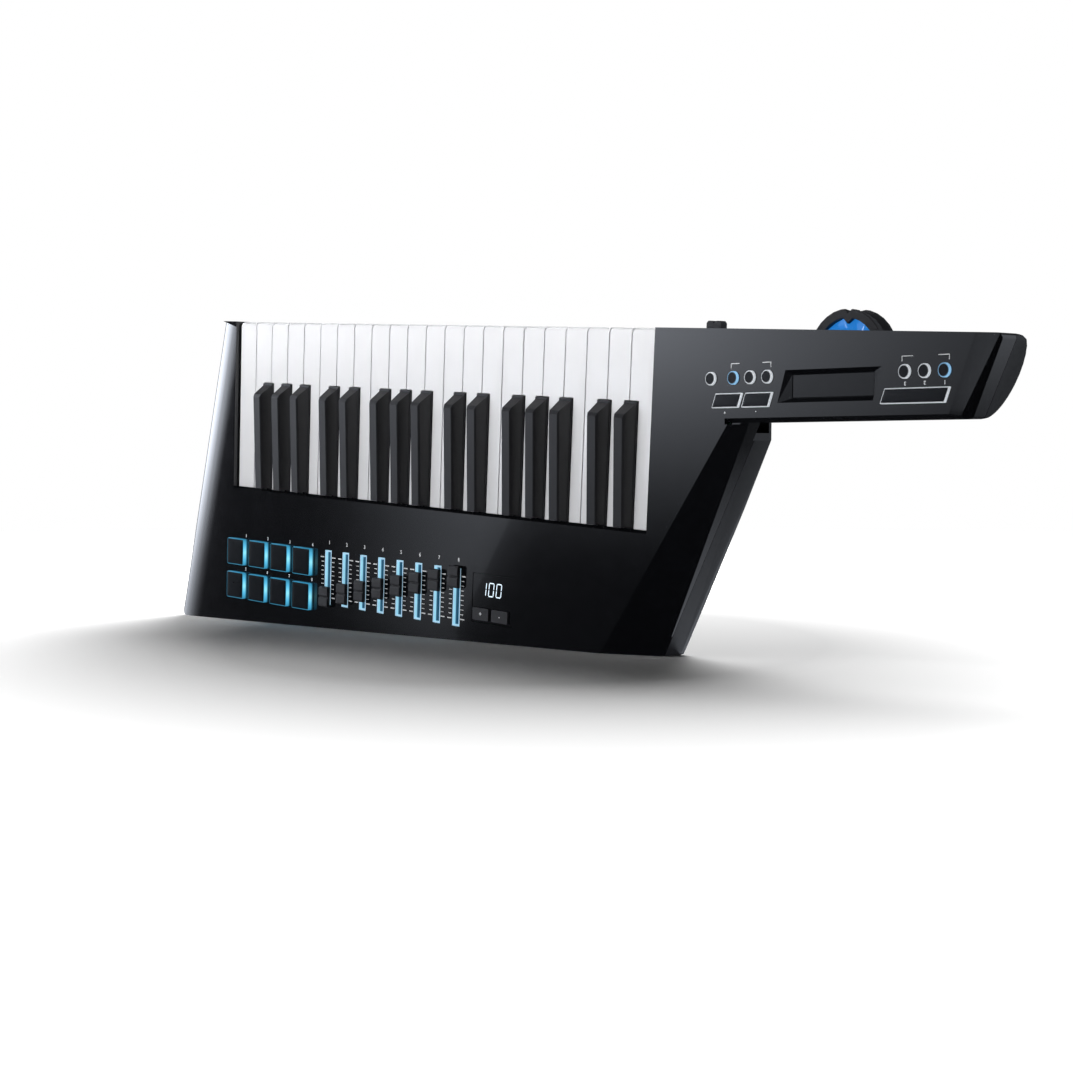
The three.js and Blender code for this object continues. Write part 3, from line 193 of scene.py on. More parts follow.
satin_black = shader("satin_black", (0.01, 0.0105, 0.012), roughness=0.4, specular=0.35)
grained(satin_black, scale=2600, depth=0.35, low=0.38, high=0.5, mottle=0.15)
refined("rear_cover", [satin_black], edge=0.45, steps=2, angle=20)


def plan(name, **sizes):
    """A geometry tree with one named input for each size. Returns the tree and its group input."""
    tree = bpy.data.node_groups.new(name, "GeometryNodeTree")
    tree.interface.new_socket("Geometry", in_out="INPUT", socket_type="NodeSocketGeometry")
    for size, value in sizes.items():
        kind = "NodeSocketInt" if isinstance(value, int) else "NodeSocketFloat"
        socket = tree.interface.new_socket(size.replace("_", " "), in_out="INPUT", socket_type=kind)
        socket.default_value = value
    tree.interface.new_socket("Geometry", in_out="OUTPUT", socket_type="NodeSocketGeometry")
    return tree, node(tree, "NodeGroupInput")


def sized(tree, source, x, y, z):
    """A vector built from the tree's named inputs."""
    vector = node(tree, "ShaderNodeCombineXYZ")
    for axis, size in (("X", x), ("Y", y), ("Z", z)):
        if size:
            link(tree, source, size, vector, axis)
    return vector


def set_on(tree, source, piece, out, material, turn=None):
    """Ends a tree: sets the piece on each point, makes it real and gives it its material."""
    each = node(tree, "GeometryNodeInstanceOnPoints")
    link(tree, source, "Geometry", each, "Points")
    link(tree, piece, out, each, "Instance")
    if turn:
        link(tree, turn, "Rotation", each, "Rotation")
    real = node(tree, "GeometryNodeRealizeInstances")
    paint = node(tree, "GeometryNodeSetMaterial")
    paint.inputs["Material"].default_value = material
    end = node(tree, "NodeGroupOutput")
    link(tree, each, "Instances", real, "Geometry")
    link(tree, real, "Geometry", paint, "Geometry")
    link(tree, paint, "Geometry", end, "Geometry")


def grown(name, tree, points, sizes, body, turns=None):
    """Runs a tree on a set of points, keeps the result as a plain mesh, and rides it on a body."""
    mesh = bpy.data.meshes.new(name + "_points")
    mesh.from_pydata([tuple(point) for point in points], [], [])
    if turns:
        mesh.attributes.new("turn", "FLOAT", "POINT").data.foreach_set("value", turns)
    piece = bpy.data.objects.new(name, mesh)
    bpy.context.scene.collection.objects.link(piece)
    maker = piece.modifiers.new(name, "NODES")
    maker.node_group = tree
    for socket in tree.interface.items_tree:
        if socket.in_out == "INPUT" and socket.name in sizes:
            maker[socket.identifier] = sizes[socket.name]
    ready = piece.evaluated_get(bpy.context.evaluated_depsgraph_get())
    made = bpy.data.meshes.new_from_object(ready)
    piece.modifiers.remove(maker)
    piece.data = made
    made.shade_smooth()
    made.set_sharp_from_angle(angle=math.radians(TURNED_SMOOTH))
    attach(piece, body)


steel = shader("steel", (0.5, 0.51, 0.53), roughness=0.35, metallic=1.0)
grained(steel, scale=400, depth=0.1, low=0.3, high=0.45, mottle=0.1)
tree, sizes = plan(
    "cross_head", Head_radius=0.0029, Head_height=0.0019,
    Slot_length=0.0032, Slot_width=0.0007, Slot_depth=0.001)
head = node(tree, "GeometryNodeMeshCylinder", Vertices=32)
link(tree, sizes, "Head radius", head, "Radius")
link(tree, sizes, "Head height", head, "Depth")
long_slot = node(tree, "GeometryNodeMeshCube")
link(tree, sized(tree, sizes, "Slot length", "Slot width", "Slot depth"), "Vector", long_slot, "Size")
wide_slot = node(tree, "GeometryNodeMeshCube")
link(tree, sized(tree, sizes, "Slot width", "Slot length", "Slot depth"), "Vector", wide_slot, "Size")
both_slots = node(tree, "GeometryNodeMeshBoolean", operation="UNION")
link(tree, long_slot, "Mesh", both_slots, 1)
link(tree, wide_slot, "Mesh", both_slots, 1)
half_height = node(tree, "ShaderNodeMath", operation="MULTIPLY")
half_height.inputs[1].default_value = 0.5
link(tree, sizes, "Head height", half_height, 0)
lifted = node(tree, "ShaderNodeCombineXYZ")
link(tree, half_height, "Value", lifted, "Z")
raised = node(tree, "GeometryNodeTransform")
link(tree, both_slots, "Mesh", raised, "Geometry")
link(tree, lifted, "Vector", raised, "Translation")
cross = node(tree, "GeometryNodeMeshBoolean", operation="DIFFERENCE")
link(tree, head, "Mesh", cross, 0)
link(tree, raised, "Geometry", cross, 1)
facing = node(tree, "GeometryNodeTransform")
facing.inputs["Rotation"].default_value = (-math.pi / 2, 0, 0)
link(tree, cross, "Mesh", facing, "Geometry")
set_on(tree, sizes, facing, "Geometry", steel)
spots = [STAND @ Vector((x, y + SCREW_HEAD / 2, z)) for x, y, z in SCREW_PLACES]
grown("cover_screws", tree, spots, {"Head height": SCREW_HEAD * MILLIMETRE}, "housing")


# Keybed chassis: the pressed steel plate inside, with the pivot rod, the guide pegs and the stops. It is
# screwed to posts of the rear cover and carries all the keys.
refined("keybed_chassis", [steel], edge=0.2, steps=1, angle=28)


# White keys: 22 glossy keys of moulded ABS, each a hollow top with an overhanging front lip. They clip over
# the chassis's pivot rod and swing on it.
key_white = shader("key_white", (0.84, 0.845, 0.87), roughness=0.2, coat=0.2)
grained(key_white, scale=700, depth=0.02, low=0.16, high=0.26, mottle=0.02)
for name in frame["nodes"]:
    if name.startswith("white_key"):
        refined(name, [key_white], edge=0.4, steps=2, angle=28)


# Black keys: 15 narrow keys with a raked front and a finely textured matte skin, moulded in ABS. They
# stand between the white ones and swing on the same rod.
key_black = shader("key_black", (0.016, 0.016, 0.018), roughness=0.4)
grained(key_black, scale=3000, depth=0.25, low=0.36, high=0.5, mottle=0.2)
for name in frame["nodes"]:
    if name.startswith("black_key"):
        refined(name, [key_black], edge=0.5, steps=2, angle=20)


# Control board: a green glass-fibre board behind the deck and the neck, with the slide pots, the display
# module and the socket block soldered on. It rests on short posts, and the screw bosses pass through it.
board_green = shader("board_green", (0.02, 0.1, 0.05), roughness=0.4)
grained(board_green, scale=500, depth=0.2, low=0.35, high=0.5, mottle=0.3)
refined("control_board", [board_green], edge=0, steps=1, angle=28)


# Sockets: a small jack with a nickel collar, a round five-way socket and a square one, soldered to the
# board. Their shells stand in the openings of the rear cover's pocket.
SOCKET_MIDDLE = 24
JACK_ALONG = 451
JACK_RADIUS = 5.2
FIVE_WAY_ALONG = 423
FIVE_WAY_RADIUS = 8.9
FIVE_WAY_FLOOR = 24
SQUARE_ALONG = 393
SQUARE_SHELL = (4.2, 3.8, 0.6)
SQUARE_TONGUE = (2.6, 1.2, 0.4)
JACK_COLLAR = [(0, 14.5, 0), (0, 28.3, 0), (0.3, 28.6, 0), (1.6, 28.6, 0), (2.0, 28.2, 0), (2.05, 15, 1)]
FIVE_WAY_COLLAR = [
    (0, 12.5, 0), (0, 28, 0), (0.4, 28.3, 0), (1.2, 28.3, 1), (2.0, 28, 1), (2.35, FIVE_WAY_FLOOR, 1),
]
SQUARE_COLLAR = [(0, 14.5, 0), (0, 27.6, 0), (0.15, 27.8, 0), (0.5, 27.8, 0), (0.65, 27.6, 0), (0.7, 16, 1)]
TONGUE_END = [(0, 15.5, 1), (0, 26, 1), (0.3, 26.3, 1)]
CONTACTS = 5
SMALLEST_CORNER = 0.3


def disc(x, z, radius, steps=32):
    """A round outline, which its inset makes smaller."""
    def outline(inset):
        reach = radius - inset
        turns = [2 * math.pi * step / steps for step in range(steps)]
        return [(x + reach * math.cos(turn), z + reach * math.sin(turn)) for turn in turns]

    return outline


def rounded(x0, x1, z0, z1, radius, steps=4):
    """A rectangle with round corners, which its inset makes smaller."""
    def outline(inset):
        size = max(radius - inset, SMALLEST_CORNER)
        ring = []
        for cx, cz, start in (
            (x1 - inset - size, z1 - inset - size, 0),
            (x0 + inset + size, z1 - inset - size, 1),
            (x0 + inset + size, z0 + inset + size, 2),
            (x1 - inset - size, z0 + inset + size, 3),
        ):
            for step in range(steps + 1):
                turn = math.pi / 2 * (start + step / steps)
                ring.append((cx + size * math.cos(turn), cz + size * math.sin(turn)))
        return ring

    return outline


def lofted(form, matrix, outline, rings):
    """Adds a closed form. outline(inset) gives a ring; rings are (inset, depth, material index)."""
    levels = []
    for inset, depth, _ in rings:
        levels.append([form.verts.new(matrix @ Vector((x, depth, z))) for x, z in outline(inset)])
    count = len(levels[0])
    for level, (lower, upper) in enumerate(zip(levels, levels[1:])):
        for index in range(count):
            after = (index + 1) % count
            face = form.faces.new((lower[index], lower[after], upper[after], upper[index]))
            face.material_index = rings[level][2]
            face.smooth = True
    form.faces.new(list(reversed(levels[0]))).material_index = rings[0][2]
    form.faces.new(levels[-1]).material_index = rings[-1][2]


def placed(form, name, materials, body, replaced=(), angle=35):
    """Makes a finished piece of a form and rides it on a body."""
    bmesh.ops.recalc_face_normals(form, faces=form.faces)
    mesh = bpy.data.meshes.new(name)
    form.to_mesh(mesh)
    form.free()
    for material in materials:
        mesh.materials.append(material)
    mesh.set_sharp_from_angle(angle=math.radians(angle))
    piece = bpy.data.objects.new(name, mesh)
    bpy.context.scene.collection.objects.link(piece)
    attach(piece, body)
    if replaced:
        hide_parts(*replaced)


socket_black = shader("socket_black", (0.012, 0.012, 0.013), roughness=0.5)
grained(socket_black, scale=2400, depth=0.2, low=0.42, high=0.58, mottle=0.2)
brass = shader("brass", (0.6, 0.42, 0.16), roughness=0.3, metallic=1.0)
grained(brass, scale=900, depth=0.1, low=0.25, high=0.4, mottle=0.1)
form = bmesh.new()
lofted(form, STAND, disc(JACK_ALONG, SOCKET_MIDDLE, JACK_RADIUS), JACK_COLLAR)
lofted(form, STAND, disc(FIVE_WAY_ALONG, SOCKET_MIDDLE, FIVE_WAY_RADIUS, steps=48), FIVE_WAY_COLLAR)
for size, rings in ((SQUARE_SHELL, SQUARE_COLLAR), (SQUARE_TONGUE, TONGUE_END)):
    half_width, half_height, corner = size
    outline = rounded(
        SQUARE_ALONG - half_width, SQUARE_ALONG + half_width,
        SOCKET_MIDDLE - half_height, SOCKET_MIDDLE + half_height, corner)
    lofted(form, STAND, outline, rings)
placed(form, "socket_shells", [steel, socket_black], "housing")

tree, sizes = plan(
    "contact_ring", Contacts=CONTACTS, Ring_radius=0.0036,
    Contact_radius=0.0008, Contact_depth=0.0006, Sweep=math.pi)
arc = node(tree, "GeometryNodeCurveArc", Resolution=24)
link(tree, sizes, "Ring radius", arc, "Radius")
link(tree, sizes, "Sweep", arc, "Sweep Angle")
along = node(tree, "GeometryNodeCurveToPoints", mode="COUNT")
link(tree, arc, "Curve", along, "Curve")
link(tree, sizes, "Contacts", along, "Count")
contact = node(tree, "GeometryNodeMeshCylinder", Vertices=16)
link(tree, sizes, "Contact radius", contact, "Radius")
link(tree, sizes, "Contact depth", contact, "Depth")
ring = node(tree, "GeometryNodeInstanceOnPoints")
link(tree, along, "Points", ring, "Points")
link(tree, contact, "Mesh", ring, "Instance")
facing = node(tree, "GeometryNodeTransform")
facing.inputs["Rotation"].default_value = (-math.pi / 2, 0, 0)
link(tree, ring, "Instances", facing, "Geometry")
set_on(tree, sizes, facing, "Geometry", brass)
spot = STAND @ Vector((FIVE_WAY_ALONG, FIVE_WAY_FLOOR, SOCKET_MIDDLE))
grown("socket_contacts", tree, [spot], {"Contacts": CONTACTS}, "housing")


# Display: a window of smoked acrylic, set flush in the deck over a display module on the board. Its three
# digits are made of lit bars and lean a little.
DISPLAY_DIGITS = (("1", 340.5), ("0", 349.5), ("0", 358.5))
DIGIT_BASE = -209.5
DIGIT_WIDTH = 5.6
DIGIT_HEIGHT = 10.4
DIGIT_DEPTH = -4.24
DIGIT_LEAN = 0.1
BAR_SHARE = 0.15
BAR_GAP = 0.7
UNEVEN = 0.2
ROUGHNESS_SPREAD = 0.08
DIGIT_BARS = {"1": "bc", "0": "abcdef"}
BAR_ENDS = {
    "a": ((0, 1), (1, 1)),
    "b": ((1, 0.5), (1, 1)),
    "c": ((1, 0), (1, 0.5)),
    "d": ((0, 0), (1, 0)),
    "e": ((0, 0), (0, 0.5)),
    "f": ((0, 0.5), (0, 1)),
}


def glowing(name, base, color, strength, roughness=0.3):
    """Frosted plastic lit from inside: the glow is a little uneven, as over a few lamps."""
    material = shader(name, base, roughness)
    smooth = roughness - ROUGHNESS_SPREAD
    rough = roughness + ROUGHNESS_SPREAD
    grained(material, scale=1500, depth=0.05, low=smooth, high=rough)
    tree = material.node_tree
    skin = tree.nodes["Principled BSDF"]
    place = node(tree, "ShaderNodeTexCoord")
    cloud = node(tree, "ShaderNodeTexNoise", Scale=90.0, Detail=1.0)
    spread = node(tree, "ShaderNodeMapRange", To_Min=strength * (1 - UNEVEN), To_Max=strength * (1 + UNEVEN))
    link(tree, place, "Object", cloud, "Vector")
    link(tree, cloud, "Fac", spread, "Value")
    link(tree, spread, "Result", skin, "Emission Strength")
    skin.inputs["Emission Color"].default_value = (*color, 1)
    return material


def digit(form, value, left):
    """The lit bars of one digit, each with pointed ends and a gap to its neighbours."""
    bar = DIGIT_WIDTH * BAR_SHARE
    for key in DIGIT_BARS[value]:
        ends = []
        for share, rise in BAR_ENDS[key]:
            x = left + share * DIGIT_WIDTH + DIGIT_LEAN * rise * DIGIT_HEIGHT
            ends.append(Vector((x, DIGIT_BASE + rise * DIGIT_HEIGHT)))
        low, high = ends
        along = (high - low).normalized()
        low = low + along * bar * BAR_GAP
        high = high - along * bar * BAR_GAP
        across = Vector((-along.y, along.x)) * bar / 2
        corners = [
            low - across, high - across, high + along * bar / 2,
            high + across, low + across, low - along * bar / 2,
        ]
        points = [DECK @ Vector((corner.x, DIGIT_DEPTH, corner.y)) for corner in corners]
        form.faces.new([form.verts.new(point) for point in points])


refined("display_lens", [gloss_black], edge=0.25, steps=2, angle=28)
digit_white = glowing("digit_white", (0.6, 0.7, 0.8), (0.75, 0.9, 1.0), strength=1.0)
form = bmesh.new()
for value, left in DISPLAY_DIGITS:
    digit(form, value, left)
placed(form, "display_digits", [digit_white], "housing")


# Value buttons: two soft rubber keys under the display, moulded as one mat that lies on its switches. A plus
# and a minus are printed on them.
VALUE_SIGNS = ((342.2, "+"), (364.8, "-"))
VALUE_LINE = -224.3
VALUE_TOP = -5.68
PRINT_RISE = 0.02
PRINT_HALF = 0.03
STROKE_SHARE = 0.045
TYPE_SHARE = 1.4


def words(form, matrix, text, x, z, height, depth=FACE, turned=False):
    """Numbers and signs in the plain built-in face, laid on a panel."""
    curve = bpy.data.curves.new("words", "FONT")
    curve.body = text
    curve.size = height * TYPE_SHARE
    curve.align_x = "CENTER"
    curve.align_y = "CENTER"
    curve.extrude = PRINT_HALF
    curve.offset = STROKE_SHARE * height
    curve.resolution_u = 3
    holder = bpy.data.objects.new("words", curve)
    mesh = bpy.data.meshes.new_from_object(holder)
    spin = Matrix.Rotation(math.pi if turned else 0, 4, "Z")
    upright = Matrix.Translation((x, depth - PRINT_RISE, z)) @ Matrix.Rotation(math.pi / 2, 4, "X") @ spin
    mesh.transform(matrix @ upright)
    form.from_mesh(mesh)
    bpy.data.objects.remove(holder)
    bpy.data.curves.remove(curve)
    bpy.data.meshes.remove(mesh)


soft_black = shader("soft_black", (0.03, 0.03, 0.033), roughness=0.6)
grained(soft_black, scale=3200, depth=0.4, low=0.5, high=0.7, mottle=0.2)
print_white = shader("print_white", (0.9, 0.92, 0.94), roughness=0.5)
grained(print_white, scale=2000, depth=0.05, low=0.45, high=0.6, mottle=0.05)
refined("value_buttons", [soft_black], edge=0.3, steps=2, angle=28)
form = bmesh.new()
for x, sign in VALUE_SIGNS:
    words(form, DECK, sign, x, VALUE_LINE, height=3.4, depth=VALUE_TOP)
placed(form, "value_signs", [print_white], "value_buttons")


# Light guide: one clear acrylic moulding behind the deck, lit blue from the board, that lines the eight
# fader windows. Its rims and near walls are bright, and each window's floor is deep and dim.
GUIDE_FLOOR = -0.5
GUIDE_LEDGE = -3.5
GUIDE_RIM = -4.1


def eased(tree, source, out, start, end, low, high, curve="SMOOTHSTEP"):
    """A value that goes from low to high while its source goes from start to end."""
    span = node(tree, "ShaderNodeMapRange", interpolation_type=curve)
    for socket, value in zip(("From Min", "From Max", "To Min", "To Max"), (start, end, low, high)):
        span.inputs[socket].default_value = value
    link(tree, source, out, span, "Value")
    return span


def times(tree, one, two):
    """The product of the first outputs of two nodes."""
    product = node(tree, "ShaderNodeMath", operation="MULTIPLY")
    link(tree, one, 0, product, 0)
    link(tree, two, 0, product, 1)
    return product


def deepened(material, start, end, low):
    """Dims a glow by depth: to low at the depth start, and not at all from the depth end."""
    tree = material.node_tree
    strength = tree.nodes["Principled BSDF"].inputs["Emission Strength"]
    place = node(tree, "ShaderNodeTexCoord")
    split = node(tree, "ShaderNodeSeparateXYZ")
    link(tree, place, "Object", split, "Vector")
    span = eased(tree, split, "Y", start=start, end=end, low=low, high=1.0)
    if strength.links:
        span = times(tree, strength.links[0].from_node, span)
    tree.links.new(span.outputs[0], strength)


window_rim = glowing("window_rim", (0.2, 0.35, 0.5), (0.4, 0.6, 0.74), strength=0.75)
window_wall = glowing("window_wall", (0.1, 0.3, 0.45), (0.4, 0.82, 1.0), strength=0.75)
window_floor = glowing("window_floor", (0.01, 0.04, 0.07), (0.005, 0.06, 0.12), strength=0.8)
deepened(window_wall, start=-0.0147, end=-0.0157, low=0.06)
guide_skins = [window_rim, window_wall, window_floor]
guide = refined("fader_light_guide", guide_skins, edge=0, steps=1, angle=28)
for face in guide.data.polygons:
    depth = (STAND.inverted() @ face.center).y
    faces_front = abs(face.normal.y) > 0.9
    if depth > GUIDE_FLOOR or (faces_front and depth > GUIDE_LEDGE):
        face.material_index = 2
    elif depth > GUIDE_RIM:
        face.material_index = 1


# Fader caps: eight caps of soft-touch plastic with a groove for the finger. Each is pushed onto the stem of
# its slide pot and runs in the window of the light guide.
for name in frame["nodes"]:
    if name.startswith("fader_cap"):
        refined(name, [soft_black], edge=0.4, steps=2, angle=28)


# Fader scales: ten white ticks at each side of each window, the end ones longer and bolder. They are
# screen printed on the deck.
FADERS = 8
FADER_FIRST = 140.8
FADER_PITCH = 24.34
FADER_MIDDLE = -214
TICKS = 10
TICK_GAP = 5.4

tree, sizes = plan(
    "tick_ladder", Ticks=TICKS, Pitch=0.0038, Reach=0.0036, Thickness=0.00054, Proud=0.00004,
    End_reach=1.39, End_boldness=1.67)
tick = node(tree, "GeometryNodeMeshCube")
link(tree, sized(tree, sizes, "Reach", "Proud", "Thickness"), "Vector", tick, "Size")
half_reach = node(tree, "ShaderNodeMath", operation="MULTIPLY")
half_reach.inputs[1].default_value = 0.5
link(tree, sizes, "Reach", half_reach, 0)
beside = node(tree, "ShaderNodeCombineXYZ")
link(tree, half_reach, "Value", beside, "X")
shifted = node(tree, "GeometryNodeTransform")
link(tree, tick, "Mesh", shifted, "Geometry")
link(tree, beside, "Vector", shifted, "Translation")
steps = node(tree, "ShaderNodeMath", operation="SUBTRACT")
steps.inputs[1].default_value = 1.0
link(tree, sizes, "Ticks", steps, 0)
height = node(tree, "ShaderNodeMath", operation="MULTIPLY")
link(tree, steps, "Value", height, 0)
link(tree, sizes, "Pitch", height, 1)
low_end = node(tree, "ShaderNodeMath", operation="MULTIPLY")
low_end.inputs[1].default_value = -0.5
link(tree, height, 0, low_end, 0)
start = node(tree, "ShaderNodeCombineXYZ")
link(tree, low_end, "Value", start, "Z")
climb = sized(tree, sizes, None, None, "Pitch")
line = node(tree, "GeometryNodeMeshLine", mode="OFFSET")
link(tree, sizes, "Ticks", line, "Count")
link(tree, start, "Vector", line, "Start Location")
link(tree, climb, "Vector", line, "Offset")
order = node(tree, "GeometryNodeInputIndex")
centred = node(tree, "ShaderNodeMath", operation="MULTIPLY_ADD")
centred.inputs[1].default_value = -0.5
link(tree, steps, "Value", centred, 0)
link(tree, order, "Index", centred, 2)
reached = node(tree, "ShaderNodeMath", operation="ABSOLUTE")
link(tree, centred, "Value", reached, 0)
half_steps = node(tree, "ShaderNodeMath", operation="MULTIPLY_ADD")
half_steps.inputs[1].default_value = 0.5
half_steps.inputs[2].default_value = -0.25
link(tree, steps, "Value", half_steps, 0)
is_end = node(tree, "ShaderNodeMath", operation="GREATER_THAN")
link(tree, reached, "Value", is_end, 0)
link(tree, half_steps, "Value", is_end, 1)
plain = node(tree, "ShaderNodeCombineXYZ", X=1.0, Y=1.0, Z=1.0)
bold = node(tree, "ShaderNodeCombineXYZ", Y=1.0)
link(tree, sizes, "End reach", bold, "X")
link(tree, sizes, "End boldness", bold, "Z")
either = node(tree, "GeometryNodeSwitch", input_type="VECTOR")
link(tree, is_end, "Value", either, "Switch")
link(tree, plain, "Vector", either, "False")
link(tree, bold, "Vector", either, "True")
ladder = node(tree, "GeometryNodeInstanceOnPoints")
link(tree, line, "Mesh", ladder, "Points")
link(tree, shifted, "Geometry", ladder, "Instance")
link(tree, either, "Output", ladder, "Scale")
turn = node(tree, "GeometryNodeInputNamedAttribute", data_type="FLOAT", Name="turn")
around = node(tree, "ShaderNodeCombineXYZ")
link(tree, turn, "Attribute", around, "Y")
rotation = node(tree, "FunctionNodeEulerToRotation")
link(tree, around, "Vector", rotation, "Euler")
set_on(tree, sizes, ladder, "Instances", print_white, rotation)
spots = []
turns = []
for fader in range(FADERS):
    for side in (-1, 1):
        x = FADER_FIRST + FADER_PITCH * fader + side * TICK_GAP
        spots.append(DECK @ Vector((x, FACE - PRINT_RISE, FADER_MIDDLE)))
        turns.append(TURN if side == 1 else TURN + math.pi)
grown("fader_ticks", tree, spots, {"Ticks": TICKS}, "housing", turns)


# Numbers and brackets: white ink, screen printed on the deck and the neck and a few hundredths of a
# millimetre proud. The neck's own print stands upside down, for the player who looks along it.
FADER_NUMBERS = (1.5, -184.2)
PAD_ROWS = 2
PAD_COLUMNS = 4
PAD_LEFT = -3.5
PAD_TOP = -191.1
PAD_WIDTH = 25
PAD_HEIGHT = 23.3
PAD_PITCH_X = 32.95
PAD_PITCH_Z = 29.9
PAD_NUMBERS = (23, 2.9)
MODE_NUMBERS = ((777.1, "1"), (761.3, "2"), (745.5, "3"))
MODE_LINE = 191.6
OCTAVE_SIGNS = ((588.5, "+"), (617.5, "-"))
OCTAVE_LINE = 175.6
BRACKETS = ((594, 631, 21), (742.5, 780.5, 20))
BRACKET_LOW = 205.6
BRACKET_HIGH = 208.6
BRACKET_LINE = 0.5


def mark(form, x0, x1, z0, z1):
    """A straight printed line on the neck."""
    places = [(x0, z0), (x1, z0), (x1, z1), (x0, z1)]
    back = [form.verts.new(STAND @ Vector((x, FACE + PRINT_RISE, z))) for x, z in places]
    near = [form.verts.new(STAND @ Vector((x, FACE - 2 * PRINT_RISE, z))) for x, z in places]
    form.faces.new(near)
    form.faces.new(list(reversed(back)))
    for index in range(4):
        after = (index + 1) % 4
        form.faces.new((back[index], back[after], near[after], near[index]))


form = bmesh.new()
for fader in range(FADERS):
    x = FADER_FIRST + FADER_PITCH * fader + FADER_NUMBERS[0]
    words(form, DECK, str(fader + 1), x, FADER_NUMBERS[1], height=3.0)
for row in range(PAD_ROWS):
    for column in range(PAD_COLUMNS):
        x = PAD_LEFT + PAD_PITCH_X * column + PAD_NUMBERS[0]
        z = PAD_TOP - PAD_PITCH_Z * row + PAD_NUMBERS[1]
        words(form, DECK, str(1 + column + PAD_COLUMNS * row), x, z, height=2.7)
for x, number in MODE_NUMBERS:
    words(form, STAND, number, x, MODE_LINE, height=2.4, turned=True)
for x, sign in OCTAVE_SIGNS:
    words(form, STAND, sign, x, OCTAVE_LINE, height=2.2, turned=True)
for left, right, gap in BRACKETS:
    middle = (left + right) / 2
    mark(form, left, middle - gap / 2, BRACKET_HIGH, BRACKET_HIGH + BRACKET_LINE)
    mark(form, middle + gap / 2, right, BRACKET_HIGH, BRACKET_HIGH + BRACKET_LINE)
    for x in (left, right - BRACKET_LINE):
        mark(form, x, x + BRACKET_LINE, BRACKET_LOW, BRACKET_HIGH)
placed(form, "face_print", [print_white], "housing")


# Performance pads: one silicone mat with eight pads, laid on force sensors on the board. Their tops are
# black, and their rims and frosted side walls glow blue, brightest at mid height.
PAD_CORNER = 1.5
PAD_DIM = (0.02, 0.19, 0.34, 1)
PAD_MIDDLING = (0.1, 0.5, 0.74, 1)
PAD_BRIGHT = (0.3, 0.85, 1, 1)

pad_top = shader("pad_top", (0.003, 0.0045, 0.007), roughness=0.3, specular=0.08)
grained(pad_top, scale=2600, depth=0.3, low=0.24, high=0.36, mottle=0.2)
rim_glow = glowing("rim_glow", (0.02, 0.07, 0.1), (0.03, 0.3, 0.5), strength=0.7)
pad_glow = shader("pad_glow", (0.05, 0.2, 0.3), roughness=0.35)
grained(pad_glow, scale=1500, depth=0.05, low=0.3, high=0.4)
paint = pad_glow.node_tree
skin = paint.nodes["Principled BSDF"]
up_deck = Vector((math.sin(TURN), 0, math.cos(TURN)))
pad_line = DECK @ Vector((0, 0, PAD_TOP - PAD_HEIGHT / 2))
place = node(paint, "ShaderNodeTexCoord")
height = node(paint, "ShaderNodeVectorMath", operation="DOT_PRODUCT")
height.inputs[1].default_value = up_deck
step = node(paint, "ShaderNodeMath", operation="MULTIPLY_ADD")
rows_per_metre = 1 / (PAD_PITCH_Z * MILLIMETRE)
step.inputs[1].default_value = rows_per_metre
step.inputs[2].default_value = -pad_line.dot(up_deck) * rows_per_metre + 0.5
wave = node(paint, "ShaderNodeMath", operation="FRACT")
ramp = node(paint, "ShaderNodeValToRGB")
for stop, spot in zip(ramp.color_ramp.elements, (0.1, 0.9)):
    stop.position = spot
    stop.color = PAD_DIM
for spot, color in ((0.3, PAD_MIDDLING), (0.5, PAD_BRIGHT), (0.7, PAD_MIDDLING)):
    ramp.color_ramp.elements.new(spot).color = color
link(paint, place, "Object", height, 0)
link(paint, height, "Value", step, 0)
link(paint, step, "Value", wave, 0)
link(paint, wave, "Value", ramp, "Fac")
link(paint, ramp, "Color", skin, "Emission Color")
skin.inputs["Emission Strength"].default_value = 1.0
deepened(pad_glow, start=-0.0184, end=-0.0198, low=0.05)
pad_rings = [
    (0, -1.8, 0), (0, -8.4, 0), (0.2, -8.9, 1), (0.35, -9.1, 1), (0.65, -9.1, 2), (0.85, -8.85, 2),
    (1.3, -8.95, 2), (2.5, -9.05, 2), (5, -9.1, 2),
]
form = bmesh.new()
for row in range(PAD_ROWS):
    for column in range(PAD_COLUMNS):
        left = PAD_LEFT + PAD_PITCH_X * column
        top = PAD_TOP - PAD_PITCH_Z * row
        lofted(form, DECK, rounded(left, left + PAD_WIDTH, top - PAD_HEIGHT, top, PAD_CORNER), pad_rings)
placed(form, "pads", [pad_glow, rim_glow, pad_top], "housing", ["pad_mat"], angle=50)


# Touch strip: a smooth black ribbon sensor of coated film. It is stuck to the floor of the sloped recess in
# the neck.
strip_black = shader("strip_black", (0.006, 0.0065, 0.008), roughness=0.25, specular=0.4)
grained(strip_black, scale=1800, depth=0.1, low=0.2, high=0.3, mottle=0.2)
refined("touch_strip", [strip_black], edge=0.3, steps=2, angle=28)


# Neck buttons: frosted clear bodies with a dark cap set in each, lit from the board. Two of the round ones
# are blue. Each group is one moulding that hangs on its switches.
ZONE_PLACES = (575.7, 596.6, 612.3, 628.0)
MODE_PLACES = (745.5, 761.3, 777.1)
ROUND_HEIGHT = 199.1
ROUND_RADIUS = 4.6
OCTAVE_PLACES = (579.0, 606.8)
OCTAVE_WIDTH = 24.6
SUSTAIN_PLACES = (728.0,)
SUSTAIN_WIDTH = 52
CORNER_SHRINK = 0.6
SLANT_CORNER = 0.25


